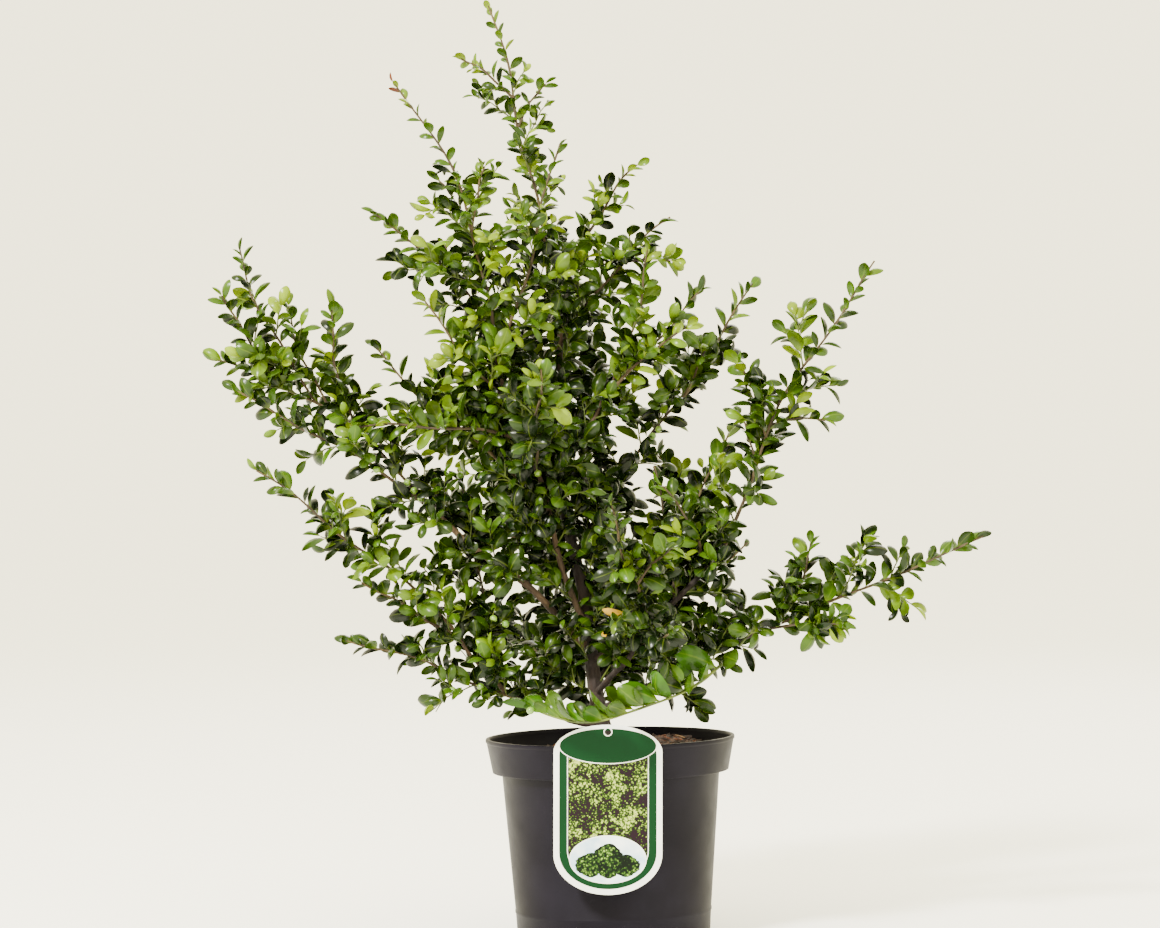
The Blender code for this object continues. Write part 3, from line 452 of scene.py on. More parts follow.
def berry_material():
    """An unripe berry's tight skin, smooth and softly shiny, in mottled yellow greens. Its spots are
    6 mm, a berry's width, and its 0.2 mm pores are drawn 1.7 mm wide."""
    material, tree, shader = new_finish("green_berry", 0.28, coat=0.3)
    green = mottle(tree, 0.00625, 3.0, [(0.35, "4E7420"), (0.65, "7C9C38")])
    tree.links.new(green, shader.inputs["Base Color"])
    roughen(tree, shader, 0.001667, 2.0, 0.15, 0.0004)
    return material


def pot_material():
    """Moulded polypropylene, near black, with a dull sheen. Dust lies on it in clouds of 56 mm and
    handling has left duller patches of 17 mm. The mould's 0.2 mm grain is drawn 1.1 mm wide."""
    material, tree, shader = new_finish("pot_plastic", 0.42, gloss=0.07)
    dust = mottle(tree, 0.05556, 6.0, [(0.35, "0B0911"), (0.6, "110F18"), (0.8, "181621")])
    tree.links.new(dust, shader.inputs["Base Color"])
    worn = add_node(tree, "ShaderNodeMapRange", {"To Min": 0.34, "To Max": 0.55},
                    [("Value", spots(tree, 0.01667, 5.0))])
    tree.links.new(worn.outputs[0], shader.inputs["Roughness"])
    roughen(tree, shader, 0.001111, 3.0, 0.12, 0.0004)
    return material


def new_ink(name):
    """Ink printed on polystyrene card and varnished, which gives a semi-gloss. The card's own grain
    of about 0.1 mm is drawn 1.4 mm wide and hardly shows."""
    material, tree, shader = new_finish(name, 0.35, gloss=0.05, coat=0.05)
    roughen(tree, shader, 0.001429, 2.0, 0.04, 0.0002)
    return material, tree, shader


def plain_ink(name, code):
    """One colour of ink, a little uneven in patches of 25 mm."""
    material, tree, shader = new_ink(name)
    tint = mottle(tree, 0.025, 2.0, [(0.3, shade_of(code, 0.94)), (0.7, code)])
    tree.links.new(tint, shader.inputs["Base Color"])
    return material


def dabbed_ink(name, dab, stops):
    """Inks in dabs like small printed leaves: -0.5 (distance to a dab's middle) + spots of six dabs
    + 0.7 spots of half a dab, dealt out over the stops."""
    material, tree, shader = new_ink(name)
    place = add_node(tree, "ShaderNodeTexCoord", {})
    cells = add_node(tree, "ShaderNodeTexVoronoi", {"Scale": 1 / dab}, [("Vector", place.outputs["Object"])])
    dabs = add_node(tree, "ShaderNodeMath", {"operation": "MULTIPLY_ADD", 1: -0.50},
                    [(0, cells.outputs["Distance"]), (2, spots(tree, dab / 0.16, 4.0))])
    whole = add_node(tree, "ShaderNodeMath", {"operation": "MULTIPLY_ADD", 1: 0.7},
                     [(0, spots(tree, dab / 2.2, 4.0)), (2, dabs.outputs[0])])
    colours = add_node(tree, "ShaderNodeValToRGB", {"stops": stops}, [("Fac", whole.outputs[0])])
    tree.links.new(colours.outputs["Color"], shader.inputs["Base Color"])
    return material


def put_in_scene(name, data):
    """A new object with this mesh, light or camera."""
    holder = bpy.data.objects.new(name, data)
    bpy.context.scene.collection.objects.link(holder)
    return holder


def mesh_piece(name, points, faces, material, uv=None, smooth=True):
    """An object of the plant or the pot that rides on the one body."""
    mesh = bpy.data.meshes.new(name)
    mesh.from_pydata(np.asarray(points).tolist(), [], faces if isinstance(faces, list) else faces.tolist())
    if uv is not None:
        layer = mesh.uv_layers.new(name="UVMap")
        corners = np.array([loop.vertex_index for loop in mesh.loops])
        layer.data.foreach_set("uv", np.asarray(uv)[corners].astype(np.float32).ravel())
    if smooth:
        mesh.shade_smooth()
    mesh.materials.append(material)
    piece = put_in_scene(name, mesh)
    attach(piece, "root")
    return piece


def angles_round(sides):
    """Equal angles once round, as a row."""
    return np.linspace(0, 2 * np.pi, sides, endpoint=False)[None, :]


def ring_quads(rings, sides, turned=False):
    """The quads between rings of points, each ring closed on itself, or the same quads turned over."""
    row, column = np.meshgrid(np.arange(rings - 1), np.arange(sides), indexing="ij")
    after = (column + 1) % sides
    quads = np.stack([row * sides + column, row * sides + after,
                      (row + 1) * sides + after, (row + 1) * sides + column], axis=-1).reshape(-1, 4)
    return quads[:, [0, 3, 2, 1]] if turned else quads


def joined(surfaces):
    """Many surfaces of points and quads as one."""
    points, faces, first = [], [], 0
    for some, quads in surfaces:
        points.append(some)
        faces.append(quads + first)
        first += len(some)
    return np.concatenate(points), np.concatenate(faces)


def square_to(heading, way):
    """The part of a way that is square to a heading, at unit length."""
    return (way - heading * way.dot(heading)).normalized()


def spoke(heading, turn):
    """A unit way square to a heading, turned about it."""
    side = heading.orthogonal().normalized()
    return side * math.cos(turn) + heading.cross(side) * math.sin(turn)


class Limb:
    """A tapering limb that runs from its foot to its tip in one bow, with a slight wander."""

    def __init__(self, name, foot, tip, bow, radii, root=None):
        self.name = name
        self.foot, self.tip, self.bow = Vector(foot), Vector(tip), Vector(bow)
        self.root = Vector(root) if root is not None else None
        self.radii = radii
        self.length = (self.tip - self.foot).length
        self.phase = random.Random(name).uniform(0, 2 * math.pi)
        self.side = (self.tip - self.foot).orthogonal().normalized()
        self.other = (self.tip - self.foot).cross(self.side).normalized()

    def curve(self, t):
        """The straight line, plus a parabola as high as the bow, plus two sines nil at the ends."""
        sway = WANDER * self.length * math.sin(math.pi * t)
        straight = self.foot + (self.tip - self.foot) * t
        wander = self.side * math.sin(7 * t + self.phase) + self.other * math.cos(9 * t + self.phase)
        return straight + self.bow * (4 * t * (1 - t)) + wander * sway

    def heading(self, t):
        """The way the curve runs at t."""
        return (self.curve(min(1.0, t + 0.01)) - self.curve(max(0.0, t - 0.01))).normalized()

    def radius(self, t):
        """Half the thickness at t, which falls a little faster near the foot."""
        return self.radii[0] + (self.radii[1] - self.radii[0]) * t**0.8


def branch(name, parent, at, tip, bow, radii):
    """A limb that leaves its parent as in the solids, with its root carried into the parent."""
    start, along = parent.curve(at), parent.heading(at)
    if at == 1.0:
        return Limb(name, start + along * GAP, tip, bow, radii, start - along * 0.002)
    outward = square_to(along, Vector(tip) + 4 * Vector(bow) - start)
    return Limb(name, start + outward * (parent.radius(at) + GAP), tip, bow, radii, start)


def limb_surface(limb, skin, relief):
    """Points and quads of a limb's skin. A ring's point at angle a and distance s lies at
    radius(t) * relief(a, s) from the middle line, in a frame carried along without twist."""
    step, sides = skin
    count = max(2, round(limb.length / step))
    places = [index / count for index in range(count + 1)]
    centres = [limb.curve(t) for t in places]
    radii = [limb.radius(t) for t in places]
    normals = [limb.heading(t) for t in places]
    if limb.root is not None:
        centres.insert(0, limb.root)
        radii.insert(0, radii[0])
        normals.insert(0, (centres[1] - centres[0]).normalized())
    across, frames, away, distance = normals[0].orthogonal().normalized(), [], [], 0.0
    for index, normal in enumerate(normals):
        across = square_to(normal, across)
        frames.append((across.copy(), normal.cross(across)))
        distance += (centres[index] - centres[index - 1]).length if index else 0.0
        away.append(distance)
    angle = angles_round(sides)
    reach = np.array(radii)[:, None] * relief(angle, np.array(away)[:, None], limb.phase)
    first = np.array([pair[0] for pair in frames])[:, None, :]
    second = np.array([pair[1] for pair in frames])[:, None, :]
    outward = first * np.cos(angle)[:, :, None] + second * np.sin(angle)[:, :, None]
    points = np.array(centres)[:, None, :] + outward * reach[:, :, None]
    return points.reshape(-1, 3), ring_quads(len(centres), sides)


def bark_relief(angle, away, phase):
    """1 + ridges that wind slowly, finer ridges against them, and a ring at each old leaf scar:
    0.06 sin(3a + 60s + p) + 0.04 sin(7a - 150s) + 0.03 sin(11a + 420s) + 0.10 exp(-(u/0.9 mm)^2),
    where u is the distance to the nearest ring and the rings are 11 mm apart."""
    ring = (away % 0.011) - 0.0055
    return (1 + 0.06 * np.sin(3 * angle + 60 * away + phase) + 0.04 * np.sin(7 * angle - 150 * away)
            + 0.03 * np.sin(11 * angle + 420 * away) + 0.10 * np.exp(-((ring / 0.0009) ** 2)))


def trunk_relief(angle, away, phase):
    """0.985 times the bark's relief, times a root flare, 1 + 0.75 exp(-s/6 mm) (0.7 + 0.3 sin(3a + 0.6))."""
    flare = 1 + 0.75 * np.exp(-away / 0.006) * (0.7 + 0.3 * np.sin(3 * angle + 0.6))
    return bark_relief(angle, away, phase) * flare * 0.985


def twig_relief(angle, away, phase):
    """1 + 0.10 cos(2 pi s / leaf step + p), a swelling at each leaf, + 0.05 sin(2a + p), a little wave."""
    return 1 + 0.10 * np.cos(2 * np.pi * away / LEAF_STEP + phase) + 0.05 * np.sin(2 * angle + phase)


def grow_limbs():
    """The trunk and boughs by name, parents first."""
    limbs = {"trunk": Limb("trunk", TRUNK_FOOT, TRUNK_TIP, TRUNK_BOW, TRUNK_RADII)}
    for name, (parent, at, tip, bow, radius) in BOUGHS.items():
        limbs[name] = branch(name, limbs[parent], at, tip, bow, (radius, BOUGH_TAPER * radius))
    return limbs


def short_of(foot, reach):
    """The tip of a shoot whose last leaf ends at the reach."""
    line = Vector(reach) - foot
    return foot + line * (1 - TIP_LEAF_SHARE * LEAF_LENGTH / line.length)


def mass_shoots(name, parent, at, tip, bow, side_shoots):
    """A mass's stem and its side shoots, as in the solids."""
    stem_tip = short_of(parent.curve(at), tip)
    stem = branch(name, parent, at, stem_tip, bow, (STEM_RADIUS, STEM_TAPER * STEM_RADIUS))
    shoots = [stem]
    for index, (place, side_tip) in enumerate(side_shoots):
        foot = stem.curve(place)
        end = short_of(foot, side_tip)
        lift = stem.heading(place) * (SHOOT_BOW * (end - foot).length)
        radii = (SHOOT_RADIUS, TWIG_TAPER * SHOOT_RADIUS)
        shoots.append(Limb(f"{name}_side{index}", foot, end, lift, radii))
    return shoots


def place_twigs(name, shoot, draw, stretch, step, lengths=TWIG_LENGTHS):
    """Twigs that leave a stretch of a shoot by a golden-angle spiral, turned up towards the light."""
    twigs = []
    start, end = stretch
    place = start * shoot.length + draw.uniform(0, 0.5) * step
    turn = draw.uniform(0, 2 * math.pi)
    shortest, longest = lengths
    while place < end * shoot.length:
        t = place / shoot.length
        heading = shoot.heading(t)
        outward = square_to(heading, spoke(heading, turn) + UP * TWIG_RISE)
        length = min(longest, max(shortest, TWIG_SHARE * (shoot.length - place))) * draw.uniform(*TWIG_SIZES)
        lean = heading * math.cos(TWIG_ANGLE) + outward * math.sin(TWIG_ANGLE)
        foot = shoot.curve(t)
        twigs.append(Limb(f"{name}_{len(twigs)}", foot, foot + lean * length, UP * TWIG_BOW * length,
                          (TWIG_RADIUS, TWIG_TAPER * TWIG_RADIUS)))
        place += step * draw.uniform(*TWIG_STEPS)
        turn += GOLDEN_ANGLE + draw.uniform(-TWIG_TURN_SLACK, TWIG_TURN_SLACK)
    return twigs


def place_leaves(shoot, draw, start, level, size=1.0, rise=LEAF_RISE):
    """Leaves one step apart, each turned a golden angle on and raised towards the light, as rows of
    (root, along, upper, length, shade). Along leans from the shoot by the leaf's angle, and upper
    looks between the shoot's tip and the sky."""
    rows = []
    count = max(3, round(shoot.length * (1 - start) / (LEAF_STEP * size)))
    turn = draw.uniform(0, 2 * math.pi)
    for index in range(count + 1):
        place = (index + draw.uniform(-LEAF_STEP_SLACK, LEAF_STEP_SLACK)) / count
        t = start + (1 - start) * min(1.0, max(0.0, place))
        heading = shoot.heading(t)
        turn += GOLDEN_ANGLE + draw.uniform(-LEAF_TURN_SLACK, LEAF_TURN_SLACK)
        outward = square_to(heading, spoke(heading, turn) + UP * (rise * (1 - abs(heading.z))))
        length = LEAF_LENGTH * size * draw.uniform(*LEAF_SIZES) * (1 - TIP_LEAF_LOSS * t**3)
        height = min(1.0, max(0.0, (shoot.curve(t).z - SMALLER_ABOVE) / SMALLER_OVER))
        length *= 1 - HIGH_LEAF_LOSS * height
        angle = LEAF_ANGLE * draw.uniform(*LEAF_ANGLES) * (1 - TIP_LEAF_CLOSING * t**6)
        along = heading * math.cos(angle) + outward * math.sin(angle)
        upper = heading * 0.5 + UP * 0.3 + heading.cross(outward) * draw.uniform(-LEAF_TURN, LEAF_TURN)
        upper = square_to(along, upper)
        young = 1 if t > YOUNG_AFTER else 0
        shade = min(len(LEAF_TINTS) - 1, max(0, level + young + draw.choice(SHADE_CHANGES)))
        rows.append((shoot.curve(t) + outward * 0.5 * shoot.radius(t), along, upper, length, shade))
    return rows


def leaf_template():
    """A convex leaf of unit length: half width w(u) by stations, x = u, y = v w,
    z = 0.19 (w / 0.29) (1 - v^2) - 0.30 u^2 - 0.016 at the midrib."""
    stations = np.array([0, 0.07, 0.22, 0.42, 0.62, 0.80, 0.93, 1.0])
    widths = np.array([0.016, 0.028, 0.160, 0.255, 0.292, 0.252, 0.150, 0.030])
    across = np.array([-1, -0.5, 0, 0.5, 1.0])
    u, v = np.meshgrid(stations, across, indexing="ij")
    w = np.broadcast_to(widths[:, None], u.shape)
    z = 0.19 * (w / 0.29) * (1 - v**2) - 0.30 * u**2 - 0.016 * (v == 0)
    points = np.stack([u, v * w, z], axis=-1).reshape(-1, 3)
    columns = len(across)
    row, column = np.meshgrid(np.arange(len(stations) - 1), np.arange(columns - 1), indexing="ij")
    first = row * columns + column
    quads = np.stack([first, first + columns, first + columns + 1, first + 1], axis=-1).reshape(-1, 4)
    uv = np.stack([u, 0.5 + 0.5 * v], axis=-1).reshape(-1, 2)
    return points, quads, uv


def leaf_surface(rows):
    """All the leaves of a kind: each point is root + length (x along + y across + z upper)."""
    template, quads, uv = leaf_template()
    root = np.array([tuple(row[0]) for row in rows])
    along = np.array([tuple(row[1]) for row in rows])
    upper = np.array([tuple(row[2]) for row in rows])
    length = np.array([row[3] for row in rows])
    across = np.cross(upper, along)
    axes = np.stack([along, across, upper], axis=1)
    points = root[:, None, :] + length[:, None, None] * np.einsum("pk,nkc->npc", template, axes)
    faces = quads[None] + (np.arange(len(rows)) * len(template))[:, None, None]
    return points.reshape(-1, 3), faces.reshape(-1, 4), np.tile(uv, (len(rows), 1))


def in_reach(point, low, high, margin=REACH_MARGIN):
    """Whether a point keeps within a box and a margin round it."""
    return all(low[axis] - margin < point[axis] < high[axis] + margin for axis in range(3))


def clear_of_pot(point):
    """Whether a point keeps above the rim and off the label."""
    beside, before, above = OFF_LABEL
    by_label = (abs(point[0] - CARD_CENTRE_X) < CARD_WIDTH / 2 + beside
                and abs(point[1] + RIM_RADIUS) < before and point[2] < CARD_TOP + above)
    return not by_label and point[2] > LOWEST_LEAF


def grow_twigs(name, shoots, draw, low, high):
    """A mass's twigs, and finer ones on the long ones, that keep within its solid's reach. The front
    arch has none."""
    twigs = []
    step = TWIG_STEP * (1 + STEP_PER_SHOOT * len(shoots[2:]))
    stretch = (TWIG_STRETCH[0], 0.0) if name == ARCH else TWIG_STRETCH
    for index, shoot in enumerate(shoots):
        for twig in place_twigs(f"{name}_twig{index}", shoot, draw, stretch, step):
            if in_reach(twig.tip, low, high) and clear_of_pot(twig.tip):
                twigs.append(twig)
                if twig.length > FINE_TWIGS_FROM:
                    finer = place_twigs(f"{twig.name}_fine", twig, draw, FINE_STRETCH, TWIG_STEP)
                    twigs += [limb for limb in finer if in_reach(limb.tip, low, high)]
    return twigs


def grow_mass(name, shoots):
    """The mass's twigs and leaves that keep within the reach of its solid."""
    low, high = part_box(name)
    draw = random.Random(name)
    twigs = grow_twigs(name, shoots, draw, low, high)
    arch = name == ARCH
    margin = 3 * REACH_MARGIN if arch else REACH_MARGIN
    size, rise = (ARCH_LEAF_SIZE, ARCH_LEAF_RISE) if arch else (1.0, LEAF_RISE)
    rows = []
    for carrier in shoots + twigs:
        kind = "shoot" if carrier in shoots else "twig"
        level = draw.choice(SHADES[kind])
        # Painted light: leaves high in the crown one shade paler
        if carrier.foot.z > PAINTED_LIGHT_ABOVE and draw.random() < PAINTED_LIGHT_SHARE:
            level += 1
        # Painted shade: leaves low and near the trunk one shade darker
        if carrier.foot.z < PAINTED_SHADE_BELOW and abs(carrier.foot.x) < PAINTED_SHADE_WITHIN:
            level -= 1
        for row in place_leaves(carrier, draw, FIRST_LEAF[kind], level, size, rise):
            root, along, _, length, tint = row
            tip = root + along * length
            if in_reach(tip, low, high, margin) and clear_of_pot(tip) and clear_of_pot(root):
                if arch:
                    tint = "bright" if draw.random() < BRIGHT_SHARE else min(tint, ARCH_PALEST)
                rows.append(row[:4] + (tint,))
    return twigs, rows


def clear_of_wood(rows, limbs):
    """The leaves whose middle and tip stay out of the trunk and the boughs."""
    places = [(limb.curve(i / 40), limb.radius(i / 40)) for limb in limbs for i in range(41)]
    wood = np.array([tuple(place) for place, _ in places])
    radius = np.array([r for _, r in places])
    root = np.array([tuple(row[0]) for row in rows])
    reach = np.array([tuple(row[1] * row[3]) for row in rows])
    kept = np.ones(len(rows), bool)
    for part in (0.5, 1.0):
        spot = root + part * reach
        near = np.linalg.norm(spot[:, None] - wood[None], axis=2) - radius[None]
        kept &= near.min(axis=1) > OFF_WOOD
    return [row for row, keep in zip(rows, kept) if keep]


def rare_leaves(rows):
    """A few leaves near the foot turn yellow, and some at the upper left tip are rusty."""
    draw = random.Random("rare")
    dealt = []
    for row in rows:
        root, tint = row[0], row[4]
        near_foot = root.z < YELLOW_BELOW and abs(root.x) < YELLOW_WITHIN
        if tint != "bright" and near_foot and draw.random() < YELLOW_SHARE:
            tint = "yellow"
        if root.z > RUSTY_ABOVE and root.x < RUSTY_LEFT_OF and draw.random() < RUSTY_SHARE:
            tint = "rust"
        dealt.append(row[:4] + (tint,))
    return dealt


def make_bark(limbs):
    """The skins of the trunk, the old boughs and the young boughs, each with the bark's relief."""
    dark = bark_material("dark_bark", "0A0503", "1A0F0A", "301E14")
    tan = bark_material("young_bark", "1E150E", "3C2D1E", "604C36")
    trunk = mesh_piece("trunk_bark", *limb_surface(limbs["trunk"], TRUNK_SKIN, trunk_relief), dark)
    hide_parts("trunk")
    old_boughs = [name for name in BOUGHS if name not in YOUNG_BOUGHS]
    for name, chosen, material in (("old_boughs", old_boughs, dark), ("young_boughs", YOUNG_BOUGHS, tan)):
        surfaces = [limb_surface(limbs[bough], BOUGH_SKIN, bark_relief) for bough in chosen]
        piece = mesh_piece(name, *joined(surfaces), material)
        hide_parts(*chosen)


def inner_foliage(limbs):
    """The twigs and leaves that grow on the trunk and the boughs themselves."""
    twigs, rows = [], []
    for name, stretch in INNER_TWIGS.items():
        draw = random.Random(name)
        grown = place_twigs(f"{name}_inner", limbs[name], draw, stretch, INNER_STEP, INNER_LENGTHS)
        for twig in list(grown):
            grown += place_twigs(f"{twig.name}_fine", twig, draw, FINE_STRETCH, TWIG_STEP)
        for twig in grown:
            # Painted shade: the inner twigs' leaves take the darkest shades
            leaves = place_leaves(twig, draw, FIRST_LEAF["inner twig"], draw.choice(SHADES["inner twig"]))
            rows += [row for row in leaves if clear_of_pot(row[0] + row[1] * row[3])]
        twigs += grown
    return twigs, rows


def make_foliage(limbs):
    """Stems, twigs and leaves of every mass, each kind joined apart. It returns places along the
    stems and twigs, with the way they run, for the berries to hang from."""
    stems, twigs, rows, arch_stems, samples = [], [], [], [], []
    for name, (parent, *growth) in MASSES.items():
        shoots = mass_shoots(name, limbs[parent], *growth)
        own_twigs, own_rows = grow_mass(name, shoots)
        (arch_stems if name == ARCH else stems).extend(shoots)
        twigs += own_twigs
        rows += own_rows
        samples += [(shoot.curve(i / 30), shoot.heading(i / 30)) for shoot in shoots for i in range(31)]
        samples += [(twig.curve(i / 6), twig.heading(i / 6)) for twig in own_twigs for i in range(7)]
    inner_twigs, inner_rows = inner_foliage(limbs)
    twigs += inner_twigs
    rows = rare_leaves(clear_of_wood(rows + inner_rows, limbs.values()))
    brown = bark_material("stem_bark", "1F170C", "392D18", "56482A")
    green = bark_material("green_twig", "26300C", "404E16", "5E6C24")
    kinds = {"stems": (stems, brown, STEM_SKIN), "twigs": (twigs, green, TWIG_SKIN),
             "arch_stem": (arch_stems, green, ARCH_SKIN)}
    for name, (chosen, material, skin) in kinds.items():
        surfaces = [limb_surface(limb, skin, twig_relief) for limb in chosen]
        mesh_piece(name, *joined(surfaces), material)
    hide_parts(*MASSES)
    for key, code in {**dict(enumerate(LEAF_TINTS)), **RARE_TINTS}.items():
        points, faces, uv = leaf_surface([row for row in rows if row[4] == key])
        waxy = leaf_material(f"holly_leaf_{key}", code)
        mesh_piece(f"leaves_{key}", points, faces, waxy, uv)
    return samples


def berry_surface(centre, rings=10, sides=14):
    """A berry's points and quads: a ball with a pinhole at each pole, where x = r sin p cos a,
    y = r sin p sin a, z = r cos p."""
    polar = np.linspace(0.06, np.pi - 0.06, rings)[:, None]
    turn = angles_round(sides)
    points = np.stack([np.sin(polar) * np.cos(turn), np.sin(polar) * np.sin(turn),
                       np.cos(polar) + 0 * turn], axis=-1) * BERRY_RADIUS + np.array(tuple(centre))
    return points.reshape(-1, 3), ring_quads(rings, sides, turned=True)


def missed_by(place, pixel):
    """How far from a pixel of the photograph a place shows, in metres at the pot's axis, and a
    little more for a place deep in the crown."""
    shrink = CAMERA_DISTANCE / (CAMERA_DISTANCE + place.y)
    across = (place.x - CAMERA_PLACE[0]) * shrink
    height = (place.z - CAMERA_PLACE[2]) * shrink
    wanted = ((pixel[0] - PHOTO_MIDDLE[0]) * PIXEL_SIZE, (PHOTO_MIDDLE[1] - pixel[1]) * PIXEL_SIZE)
    deeper = max(0, place.y - DEEP_BEHIND)
    return math.hypot(across - wanted[0], height - wanted[1]) + deeper * DEPTH_COST


def make_berries(samples):
    """Each berry hangs on a short stalk from the twig that lies nearest to its place in the view."""
    berries, stalks = [], []
    for pixel in BERRIES:
        place, heading = min(samples, key=lambda sample: missed_by(sample[0], pixel))
        centre = place + square_to(heading, Vector((0.2, -1.0, -0.25))) * BERRY_DROP
        berries.append(berry_surface(centre))
        stalk = Limb("stalk", place, centre, (0, 0, 0), (STALK_RADIUS, STALK_RADIUS))
        stalks.append(limb_surface(stalk, STALK_SKIN, twig_relief))
    mesh_piece("berries", *joined(berries), berry_material())
    stalk_green = bark_material("stalk_green", "6C7A33", "8C9A46", "A8B35C")
    mesh_piece("berry_stalks", *joined(stalks), stalk_green)


def soil_height(x, y):
    """The soil's top as in the solids: flat round the trunk, sinking with the square of the way out
    to the edge, less low lumps |sin(95x + 1) sin(110y) + 0.6 sin(170x - 140y)|."""
    edge = BAND_FOOT_RADIUS - POT_WALL
    outward = np.maximum(0.0, np.hypot(x, y) - SOIL_FLAT_RADIUS) / (edge - SOIL_FLAT_RADIUS)
    lumps = np.sin(95 * x + 1.0) * np.sin(110 * y) + 0.6 * np.sin(170 * x - 140 * y)
    return SOIL_LEVEL - SOIL_EDGE_DROP * outward**2 - SOIL_LUMP * np.minimum(1.0, 3 * outward) * np.abs(lumps)


def crumb_height(x, y):
    """The solids' height plus 1.2 mm, a heap of 7 mm exp(-(d / 38 mm)^2) towards the back right,
    and crumbs of 0.7 mm: sines of 3 to 9 mm waves in several directions."""
    fine = (np.sin(900 * x + 300 * y) * np.sin(700 * y - 200 * x) + 0.6 * np.sin(1500 * x - 1100 * y)
            + 0.5 * np.sin(1300 * y + 500 * x + 2))
    heap = HEAP_HEIGHT * np.exp(-((x - HEAP_PLACE[0]) ** 2 + (y - HEAP_PLACE[1]) ** 2) / HEAP_WIDTH**2)
    return soil_height(x, y) + CRUMB_LIFT + heap + CRUMB_HEIGHT * fine


def chip_surface(draw, fibre):
    """A ragged box of bark, or a thin fibre, laid on the crumbs at a drawn place, turn and tilt."""
    away = CHIP_REACH * math.sqrt(draw.uniform(0.02, 1))
    turn = draw.uniform(0, 2 * math.pi)
    x, y = away * math.cos(turn), away * math.sin(turn)
    size = [draw.uniform(*span) for span in CHIP_SIZES]
    if fibre:
        size = [draw.uniform(*FIBRE_LENGTHS), FIBRE_THICKNESS, FIBRE_THICKNESS]
    laid = np.array(Matrix.Translation((x, y, float(crumb_height(x, y)) + CHIP_LIFT))
                    @ Matrix.Rotation(draw.uniform(0, 6.28), 4, "Z")
                    @ Matrix.Rotation(draw.uniform(-0.35, 0.35), 4, "Y")
                    @ Matrix.Rotation(draw.uniform(-0.5, 0.5), 4, "X"))
    ragged = 1 + np.array([[draw.uniform(-0.35, 0.15) for _ in range(3)] for _ in range(8)])
    local = CHIP_CORNERS * ragged * np.array(size)
    return local @ laid[:3, :3].T + laid[:3, 3], CHIP_SIDES


def make_soil():
    """A crumbly skin over the soil, strewn with chips and fibres of bark. The skin's point at radius
    r and angle a is (r cos a, r sin a, crumb height)."""
    rings, sides = 60, 150
    radius = np.linspace(*CRUMB_RADII, rings)[:, None]
    angle = angles_round(sides)
    x, y = radius * np.cos(angle), radius * np.sin(angle)
    points = np.stack([x, y, crumb_height(x, y)], axis=-1).reshape(-1, 3)
    # Moist milled peat: dark, in crumbs of 4.5 mm
    earth = broken_material("potting_soil", 0.004545, 0.95, 0.002,
                            [(0.3, "140C08"), (0.5, "2C1B11"), (0.7, "563A28")])
    mesh_piece("soil_crumbs", points, ring_quads(rings, sides, turned=True), earth)
    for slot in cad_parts["soil"].material_slots:
        slot.material = earth
    draw = random.Random("chips")
    for name, (count, dark, pale) in CHIPS.items():
        surfaces = [chip_surface(draw, name == "pale_chip") for _ in range(count)]
        # Composted bark: broken faces with a fibre every 2.5 mm
        material = broken_material(f"{name}_bark", 0.0025, 0.9, 0.001, [(0.35, dark), (0.65, pale)])
        mesh_piece(f"{name}s", *joined(surfaces), material, smooth=False)


def turned_surface(profile, sides):
    """A profile of (radius, height) turned about Z: x = r cos a, y = r sin a, z = h."""
    radius = np.array([place[0] for place in profile])[:, None]
    height = np.array([place[1] for place in profile])[:, None]
    angle = angles_round(sides)
    points = np.stack([radius * np.cos(angle), radius * np.sin(angle), height + 0 * angle], axis=-1)
    return points.reshape(-1, 3), ring_quads(len(profile), sides)


def ellipse_loop(centre_z, wide, high, steps=48, centre_x=0.0):
    """An ellipse about a centre, as (x, z)."""
    turns = [2 * math.pi * i / steps for i in range(steps)]
    return [(centre_x + wide * math.cos(turn), centre_z + high * math.sin(turn)) for turn in turns]


def dress_pot():
    """The pot's wall and its drained floor, moulded in one."""
    material = pot_material()
    wall = mesh_piece("pot_wall", *turned_surface(POT_PROFILE, POT_SIDES), material)
    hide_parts("pot")
    foot = POT_FOOT_RADIUS - POT_FOOT_BEVEL
    turns = [2 * math.pi * (index + 0.5) / DRAIN_COUNT for index in range(DRAIN_COUNT)]
    drains = [ellipse_loop(DRAIN_CIRCLE * math.sin(turn), DRAIN_RADIUS, DRAIN_RADIUS, 20,
                           DRAIN_CIRCLE * math.cos(turn)) for turn in turns]
    edge = ellipse_loop(0.0, foot, foot, POT_SIDES)
    floor = plate("pot_floor", [edge] + drains, 0, POT_WALL, material, flat=True)


def card_loop(inset, arc_steps=32):
    """The card's edge moved in by inset, as (x, z) from the top: a dome, sides and a rounded end."""
    half = CARD_WIDTH / 2 - inset
    height = CARD_TOP - CARD_BOTTOM - 2 * inset
    dome = CARD_DOME * (half / (CARD_WIDTH / 2))
    end = CARD_END * (half / (CARD_WIDTH / 2))
    loop = []
    for step in range(arc_steps + 1):
        angle = math.pi * step / arc_steps
        loop.append((half * math.cos(angle), dome * (math.sin(angle) - 1) - inset))
    for step in range(arc_steps + 1):
        angle = math.pi * (1 + step / arc_steps)
        loop.append((half * math.cos(angle), end * (1 + math.sin(angle)) - height - inset))
    return loop


def picture_loop(inset):
    """The picture's edge: the card's sides and rounded end, moved in, closed straight under the head."""
    half = CARD_WIDTH / 2 - inset
    lower = [(x, z) for x, z in card_loop(inset) if z < -CARD_WIDTH / 2]
    return [(half, PICTURE_TOP), (-half, PICTURE_TOP)] + lower


